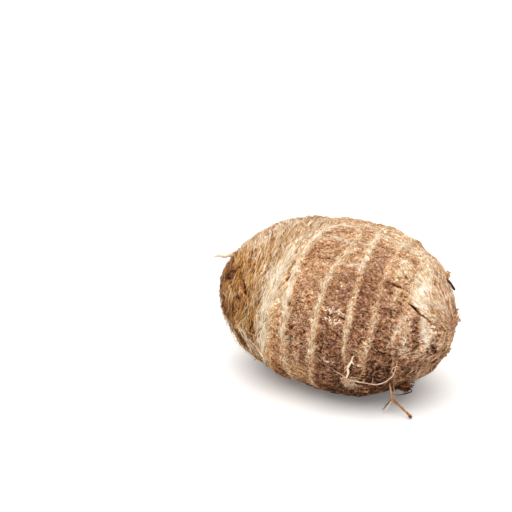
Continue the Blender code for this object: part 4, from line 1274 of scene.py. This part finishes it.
def make_husk(name, node, scraps, seed):
    """Scraps of husk in one piece, for rows of (along, degrees, the way it points, length, width and lift
    in mm, tone, redness). A scrap is 0.35 + 0.65 sin(pi s**0.8)**0.8 of its width, for s from 0 to 1."""
    dice = np.random.default_rng(seed)
    share = np.linspace(0, 1, HUSK_STATIONS)
    turn = np.arange(HUSK_SIDES) * TAU / HUSK_SIDES
    made = []
    for along, degrees, pointing, length, width, lift, _, _ in scraps:
        start, outward = spot(along, degrees)
        ahead = np.array(pointing, float)
        ahead = unit(ahead - outward * (ahead @ outward))
        wavy = 0.25 * np.sin(share * 7 + dice.uniform(0, TAU)) * share
        rise = lift * share**2 - ROOTED + wavy
        line = start + (ahead * (length * share)[:, None] + outward * rise[:, None]) * MM
        wide = width / 2 * (0.35 + 0.65 * np.sin(math.pi * share**0.8) ** 0.8)
        torn = dice.normal(0, TORN, (HUSK_STATIONS, 2))
        torn = np.where(np.cos(turn)[None] > 0, torn[:, :1], torn[:, 1:])
        swell = 1 + torn * np.abs(np.cos(turn)) ** 3
        up = np.broadcast_to(outward, line.shape)
        made.append((line, up, wide * MM, swell, CUPPED * width * share * MM))
    line, up, wide, swell, cup = (np.stack(each) for each in zip(*made))
    thick = np.full_like(wide, HUSK_HALF_THICKNESS * MM)
    points = carried(line, up, wide, thick, HUSK_SIDES, swell, cup)
    tone, redness = np.array([scrap[6:] for scrap in scraps]).T
    tone = tone[:, None] + dice.normal(0, 0.05, wide.shape)
    make_carried(name, points, tone, redness, HUSK_LENGTH, HUSK_SIDES, husk_look, "dry_husk", [node])


END_SCRAPS = (
    (0.86, 342, (0.05, 0.20, -1.0), 5.0, 3.0, 0.2, 0.12, 0.3),
    (0.85, 343, (0.10, 0.10, -1.0), 4.0, 2.2, 0.15, 0.18, 0.3),
    (0.84, 341, (0.5, 0.5, 0.5), 2.0, 2.2, 1.8, 0.66, 0.6),
    (0.85, 344, (0.9, 0.2, 0.9), 2.2, 1.2, 2.6, 0.60, 0.6),
)
SIDE_SCRAPS = (
    (0.985, 355, (0.2, 0.3, -0.8), 3.0, 2.6, 1.3, 0.56, 0.8),
    (0.985, 335, (0.5, 0.6, 0.5), 2.2, 2.0, 1.4, 0.62, 0.7),
    (0.988, 15, (0.8, 0.1, -0.4), 2.2, 1.9, 1.5, 0.50, 0.8),
    (0.960, 160, (0.8, 0.2, -0.6), 2.4, 2.0, 1.0, 0.56, 0.7),
    (0.955, 150, (0.7, -0.3, -0.4), 2.0, 1.6, 0.8, 0.44, 0.8),
)
RAGGED_SCRAPS = (
    (0.67, 153, (0.9, -0.4, -0.5), 7.4, 4.4, 2.2, 0.20, 0.6),
    (0.68, 148, (0.9, -0.4, -0.3), 6.2, 2.8, 1.8, 0.32, 0.6),
    (0.70, 149, (0.9, -0.4, 0.1), 4.0, 3.0, 1.5, 0.36, 0.9),
    (0.65, 158, (0.5, -0.8, 0.0), 3.2, 2.4, 1.0, 0.26, 0.6),
)
make_husk("end_husk", "end_flake", END_SCRAPS, 601)
make_husk("side_husk", "side_flake", SIDE_SCRAPS, 602)
make_husk("ragged_husk", "ragged_flake", RAGGED_SCRAPS, 603)

# %% [markdown]
# ## Crumbs
# Where the bark has cracked it sheds crumbs of cork: a drift of pale ones by the hollows past the middle,
# more round the scarred end, and a few in between. A crumb is the carried oval again, at most about twice
# as long as it is wide and lumpy all over, in four dozen triangles. It wears the fibre's look, on the
# same kind of map.

# %% Cork crumbs, in drifts
CRUMB_DRIFTS = (  # along, degrees, their spreads, count, size in mm, tone, redness, heap in mm
    (0.275, 69.8, 0.055, 1.8, 60, 0.36, 0.84, 0.9, 0), (0.275, 76.5, 0.055, 1.5, 50, 0.34, 0.8, 0.9, 0),
    (0.35, 67, 0.02, 3, 16, 0.36, 0.76, 0.6, 0), (0.155, 99, 0.012, 4, 16, 0.4, 0.82, 0.5, 0),
    (0.42, 97, 0.03, 6, 22, 0.36, 0.74, 0.6, 0), (0.87, 76, 0.022, 9, 90, 0.36, 0.8, 0.75, 0),
    (0.74, 78, 0.02, 9, 50, 0.38, 0.74, 0.85, 0), (0.93, 92, 0.02, 12, 60, 0.42, 0.68, 0.85, 0),
    (0.92, 104, 0.004, 1.2, 7, 0.45, 0.52, 1, 0.1), (0.65, 68, 0.04, 14, 80, 0.34, 0.64, 0.9, 0),
    (0.988, 15, 0.005, 30, 170, 0.42, 0.64, 0.85, 1.5), (0.968, 162, 0.006, 9, 90, 0.4, 0.68, 0.75, 1),
    (0.975, 120, 0.012, 44, 150, 0.36, 0.74, 0.65, 0.6), (0.95, 150, 0.025, 14, 90, 0.45, 0.46, 0.85, 0),
    (0.84, 158, 0.04, 7, 90, 0.45, 0.44, 0.8, 0), (0.845, 343, 0.01, 3, 44, 0.48, 0.7, 0.45, 1.3),
    (0.69, 156, 0.03, 6, 24, 0.6, 0.22, 0.6, 0), (0.73, 154, 0.024, 7, 130, 0.5, 0.36, 0.95, 2.2),
    (0.4, 122, 0.04, 5, 80, 0.34, 0.72, 0.9, 0), (0.46, 132, 0.1, 7, 80, 0.42, 0.42, 0.8, 0),
    (0.63, 50, 0.03, 5, 24, 0.5, 0.7, 0.7, 0), (0.3, 236, 0.05, 5, 40, 0.7, 0.84, 0.6, 0),
    (0.83, 240, 0.03, 12, 60, 0.5, 0.88, 0.45, 0),
)
CRUMB_SIDES = 6
reach = np.linspace(-0.5, 0.5, 4)  # its stations, as shares of its length


def spread_about(rows, count, dice):
    """Places along and degrees round, spread about the drifts' middles as normal curves."""
    return (rows[:, i] + rows[:, i + 2] * dice.normal(0, 0.6, count) for i in (0, 1))


dice = np.random.default_rng(701)
drifts = np.concatenate([np.repeat([drift], drift[4], axis=0) for drift in CRUMB_DRIFTS])
count = len(drifts)
along, degrees = spread_about(drifts, count, dice)
along = np.clip(along, -0.98, 0.995)
size = drifts[:, 5] * np.exp(dice.normal(0, 0.35, count))
lift = 0.25 * size + drifts[:, 8] * dice.uniform(0, 1, count) ** 1.5
tone = drifts[:, 6] + dice.normal(0, 0.08, count)
redness = drifts[:, 7] + dice.normal(0, 0.1, count)

dice = np.random.default_rng(702)
around = np.radians(degrees)
outward = read(OUTWARD, along, around)
ahead = dice.normal(size=(count, 3))
ahead = unit(ahead - outward * (ahead * outward).sum(axis=1, keepdims=True) * 0.6)
length = size * dice.uniform(0.8, 1.9, count)
middle = read(SKIN, along, around) + outward * (lift * MM)[:, None]
line = middle[:, None] + ahead[:, None] * (length[:, None] * reach)[..., None] * MM
wide = size[:, None] / 2 * np.sqrt(1 - (reach * 1.5) ** 2) * MM
thick = wide * dice.uniform(0.35, 0.8, (count, 1))
swell = dice.uniform(0.7, 1.3, (*wide.shape, CRUMB_SIDES))
up = np.broadcast_to(outward[:, None], line.shape)
points = carried(line, up, wide, thick, CRUMB_SIDES, swell)
up_band = np.linspace(0.55, 0.95, len(reach))
maps = tone_maps(tone, redness, up_band, CRUMB_SIDES, (0, -1, 1), (0, 1, 1), CRUMB_SIDES)
faces = ring_faces(*wide.shape, CRUMB_SIDES)
make_piece("cork_crumbs", points, faces, maps, fibre_look, "corm_skin")

# %% [markdown]
# ## Loose hairs
# The last touch is what sticks out. Loose hairs leave the bark at a slant, so that the outline is soft, a
# few long strands hang under the crown, and a tuft of them frays where the stub meets the trailing root.
# A hair's line goes ahead over the bark by its length, as a fibre's does, and out by its height.

# %% Free hairs, as ribbons
HAIR_STATIONS = 6


def make_hairs(
    name, along, around, heading, length, height, lean, width, tone, redness, slot="corm_skin"
):
    """Hairs from these places. A hair goes `length` mm over the bark at its heading while it rises to
    height * (s**lean), for s from 0 to 1, so lean < 1 stands up at once and lean > 1 only at its tip."""
    share = np.linspace(0, 1, HAIR_STATIONS)
    curl = np.random.default_rng(len(along)).normal(0, 0.7, len(along))
    line_along, line_around = trail(along, around, heading, length * MM, HAIR_STATIONS, curl)
    outward = read(OUTWARD, line_along, line_around)
    rise = height[:, None] * share ** lean[:, None] - 0.1 * (1 - share) ** 2
    centre = read(SKIN, line_along, line_around) + outward * (rise * MM)[..., None]
    tone = tone + read(TONE, along, around)
    redness = redness + read(REDNESS, along, around)
    widths = width[:, None] * taper(HAIR_STATIONS, root=0.9, tip=0.2, fullest=0.2) * MM
    make_piece(name, *ribbons(centre, outward, widths, tone, redness), fibre_look, slot)


# %% Stray hairs all over
STRAY_COUNT = 1350


def fringed(along, degrees):
    """True low on the scarred end, where the bark's edge is frayed into a pale fringe."""
    return (along > 0.70) & (np.abs(degrees - 144) < 30)


def stray_density(along, degrees):
    """A little more on the crown, and most in the fringe."""
    return 1.0 + 0.6 * (along < -0.2) + 8.0 * fringed(along, degrees)


along, around, dice = scatter(STRAY_COUNT, stray_density, 801)
count, degrees = len(along), np.degrees(around)
fringe = fringed(along, degrees)
coat_way = coat_heading(along, degrees) + either_way(dice, count)
heading = np.where(along < -0.2, coat_way + dice.normal(0, 0.5, count), dice.uniform(0, TAU, count))
length = np.where(along < -0.2, dice.uniform(2.5, 7.0, count), dice.uniform(1.0, 3.2, count))
height = length * dice.uniform(0.10, 0.55, count) * np.where(fringe, 1.1, 1.0)
lean = dice.uniform(0.7, 2.2, count)
width = dice.uniform(0.10, 0.19, count)
tone = dice.normal(0.10, 0.12, count) + 0.22 * fringe
redness = dice.normal(0, 0.1, count) - 0.3 * fringe
make_hairs("stray_hairs", along, around, heading, length, height, lean, width, tone, redness)

# %% Long strands under the crown, four hairs to each
STRANDS = (  # along, degrees round, degrees of heading, length, height in mm, width in mm, tone added
    (-0.7, 119, 52, 12, 1.4, 0.28, 0.5), (-0.73, 117, 48, 11, 2.2, 0.24, 0.45),
    (-0.76, 114, 44, 10, 2.6, 0.22, 0.4), (-0.52, 104, 58, 12, 0.8, 0.36, 0.4),
    (-0.49, 101, 50, 9, 0.7, 0.34, 0.35), (-0.46, 108, 46, 10, 1, 0.3, 0.35),
    (-0.4, 112, 40, 9, 0.9, 0.3, 0.25), (-0.33, 110, 30, 9, 0.8, 0.32, 0.25),
    (-0.28, 114, 22, 8, 0.7, 0.32, 0.2), (-0.6, 128, 36, 10, 1.6, 0.24, 0.4),
    (-0.5, 130, 30, 9, 1.4, 0.24, 0.35), (-0.8, 96, 120, 8, 3, 0.18, 0.35),
    (-0.84, 88, 140, 6, 2.6, 0.18, 0.3), (-0.8, 115, 62, 11, 2.6, 0.26, 0.55),
    (-0.76, 118, 64, 10, 2.9, 0.24, 0.45), (-0.73, 121, 60, 9, 2.3, 0.24, 0.25),
    (-0.78, 122, 66, 12, 2.6, 0.22, 0.05), (-0.64, 124, 70, 9, 2.1, 0.24, 0.45),
    (-0.78, 102, 100, 7, 3.2, 0.16, 0.3),
)
dice = np.random.default_rng(811)
copies = np.repeat(np.array(STRANDS, float), 4, axis=0)
count = len(copies)
for column, spread in enumerate((0.010, 0.9, 7)):
    copies[:, column] += dice.normal(0, spread, count)
copies[:, 3:6] *= np.exp(dice.normal(0, 0.22, (count, 3)))
along, degrees, turned, length, height, width, paler = copies.T
lean = dice.uniform(0.8, 2.0, count)
tone = paler + dice.normal(0.16, 0.06, count)
redness = -0.15 + dice.normal(0, 0.08, count)
around, heading = np.radians(degrees), np.radians(turned)
make_hairs("crown_strands", along, around, heading, length, height, lean, width, tone, redness)

# %% The frayed tuft below the stub
TUFT_COUNT = 90
dice = np.random.default_rng(821)
along = 0.400 + dice.normal(0, 0.022, TUFT_COUNT)
around = np.radians(118 + dice.uniform(-2.0, 7.0, TUFT_COUNT))
fanned = 55 * (along - 0.37) / 0.05 * dice.uniform(0.2, 1.0, TUFT_COUNT)
heading = np.radians(20 + fanned + dice.normal(0, 25, TUFT_COUNT))
length, height, lean, width = (
    dice.uniform(*span, TUFT_COUNT) for span in ((1.2, 4.2), (0.2, 1.3), (0.6, 1.4), (0.13, 0.26))
)
tone = dice.normal(0.50, 0.12, TUFT_COUNT)
redness = dice.normal(0.0, 0.1, TUFT_COUNT)
make_hairs(
    "frayed_tuft", along, around, heading, length, height, lean, width, tone, redness, "cream_root"
)

# %% [markdown]
# ## Studio
# A root like this is shown on a white acrylic table, under one broad soft light from above and a little
# behind, with the white room filling the shadows. A sun lamp with a wide angle is such a light at every
# distance, so the table stays evenly white. The room is the world's colour: it shows white, and lights
# the shadows with less than that.

# %% A white table, which gives back a little light of its own
HALF_TABLE = 4.0  # metres, so that its edge never shows
table_mesh = bpy.data.meshes.new("table")
table_corners = [(x * HALF_TABLE, y * HALF_TABLE, 0) for x, y in ((-1, -1), (1, -1), (1, 1), (-1, 1))]
table_mesh.from_pydata(table_corners, [], [(0, 1, 2, 3)])
table_look, _, table_shader = new_material("white acrylic")
table_shader.inputs["Base Color"].default_value = linear("#f9f9f9")
table_shader.inputs["Roughness"].default_value = 0.28
table_shader.inputs["Emission Color"].default_value = (1, 1, 1, 1)
table_shader.inputs["Emission Strength"].default_value = 0.13
table_mesh.materials.append(table_look)
table = bpy.data.objects.new("table", table_mesh)
bpy.context.scene.collection.objects.link(table)

# %% The soft light and the white room
KEY_STRENGTH = 3.78
KEY_FROM = Vector((0.0, -0.25, 1.0))
KEY_WIDTH = math.radians(80)
ROOM_LIGHT = 0.46
key_data = bpy.data.lights.new("overhead softbox", "SUN")
key_data.energy = KEY_STRENGTH
key_data.angle = KEY_WIDTH
key_data.color = (1.0, 0.985, 0.96)
key = bpy.data.objects.new("overhead softbox", key_data)
bpy.context.scene.collection.objects.link(key)
key.rotation_mode = "QUATERNION"
key.rotation_quaternion = KEY_FROM.to_track_quat("Z", "Y")

world = bpy.data.worlds.new("white room")
world.use_nodes = True
bpy.context.scene.world = world
room = world.node_tree
room.nodes.clear()
seen = add_node(room, "ShaderNodeLightPath").outputs["Is Camera Ray"]
levels = {"Value": seen, "To Min": ROOM_LIGHT, "To Max": 1.0}
strength = add_node(room, "ShaderNodeMapRange", levels).outputs["Result"]
glow = add_node(room, "ShaderNodeBackground", {"Color": (1, 1, 1, 1), "Strength": strength})
add_node(room, "ShaderNodeOutputWorld", {"Surface": glow.outputs["Background"]})

# %% The camera, to the right of the root's middle and a little above it
CAMERA_TURN = math.radians(33)
CAMERA_HEIGHT = math.radians(20)
CAMERA_DISTANCE = 0.6
CAMERA_SLIDE = -28.2 * MM
CAMERA_RISE = 16.2 * MM
CAMERA_LENS = 117.6  # mm, on a sensor of 36
level, rise = math.cos(CAMERA_HEIGHT), math.sin(CAMERA_HEIGHT)
back = Vector((math.sin(CAMERA_TURN) * level, -math.cos(CAMERA_TURN) * level, rise))
right = Vector((math.cos(CAMERA_TURN), math.sin(CAMERA_TURN), 0))
camera_data = bpy.data.cameras.new("camera")
camera_data.lens = CAMERA_LENS
camera_data.sensor_width = 36
camera_data.clip_start = 0.01
camera_data.clip_end = 20
camera = bpy.data.objects.new("camera", camera_data)
bpy.context.scene.collection.objects.link(camera)
camera.location = Vector((low + high) / 2) + back * CAMERA_DISTANCE + right * CAMERA_SLIDE
camera.location += back.cross(right) * CAMERA_RISE
camera.rotation_mode = "QUATERNION"
camera.rotation_quaternion = back.to_track_quat("Z", "Y")
bpy.context.scene.camera = camera
bpy.context.scene.view_settings.view_transform = "Standard"
print("camera at, in mm:", [round(value / MM) for value in camera.location])
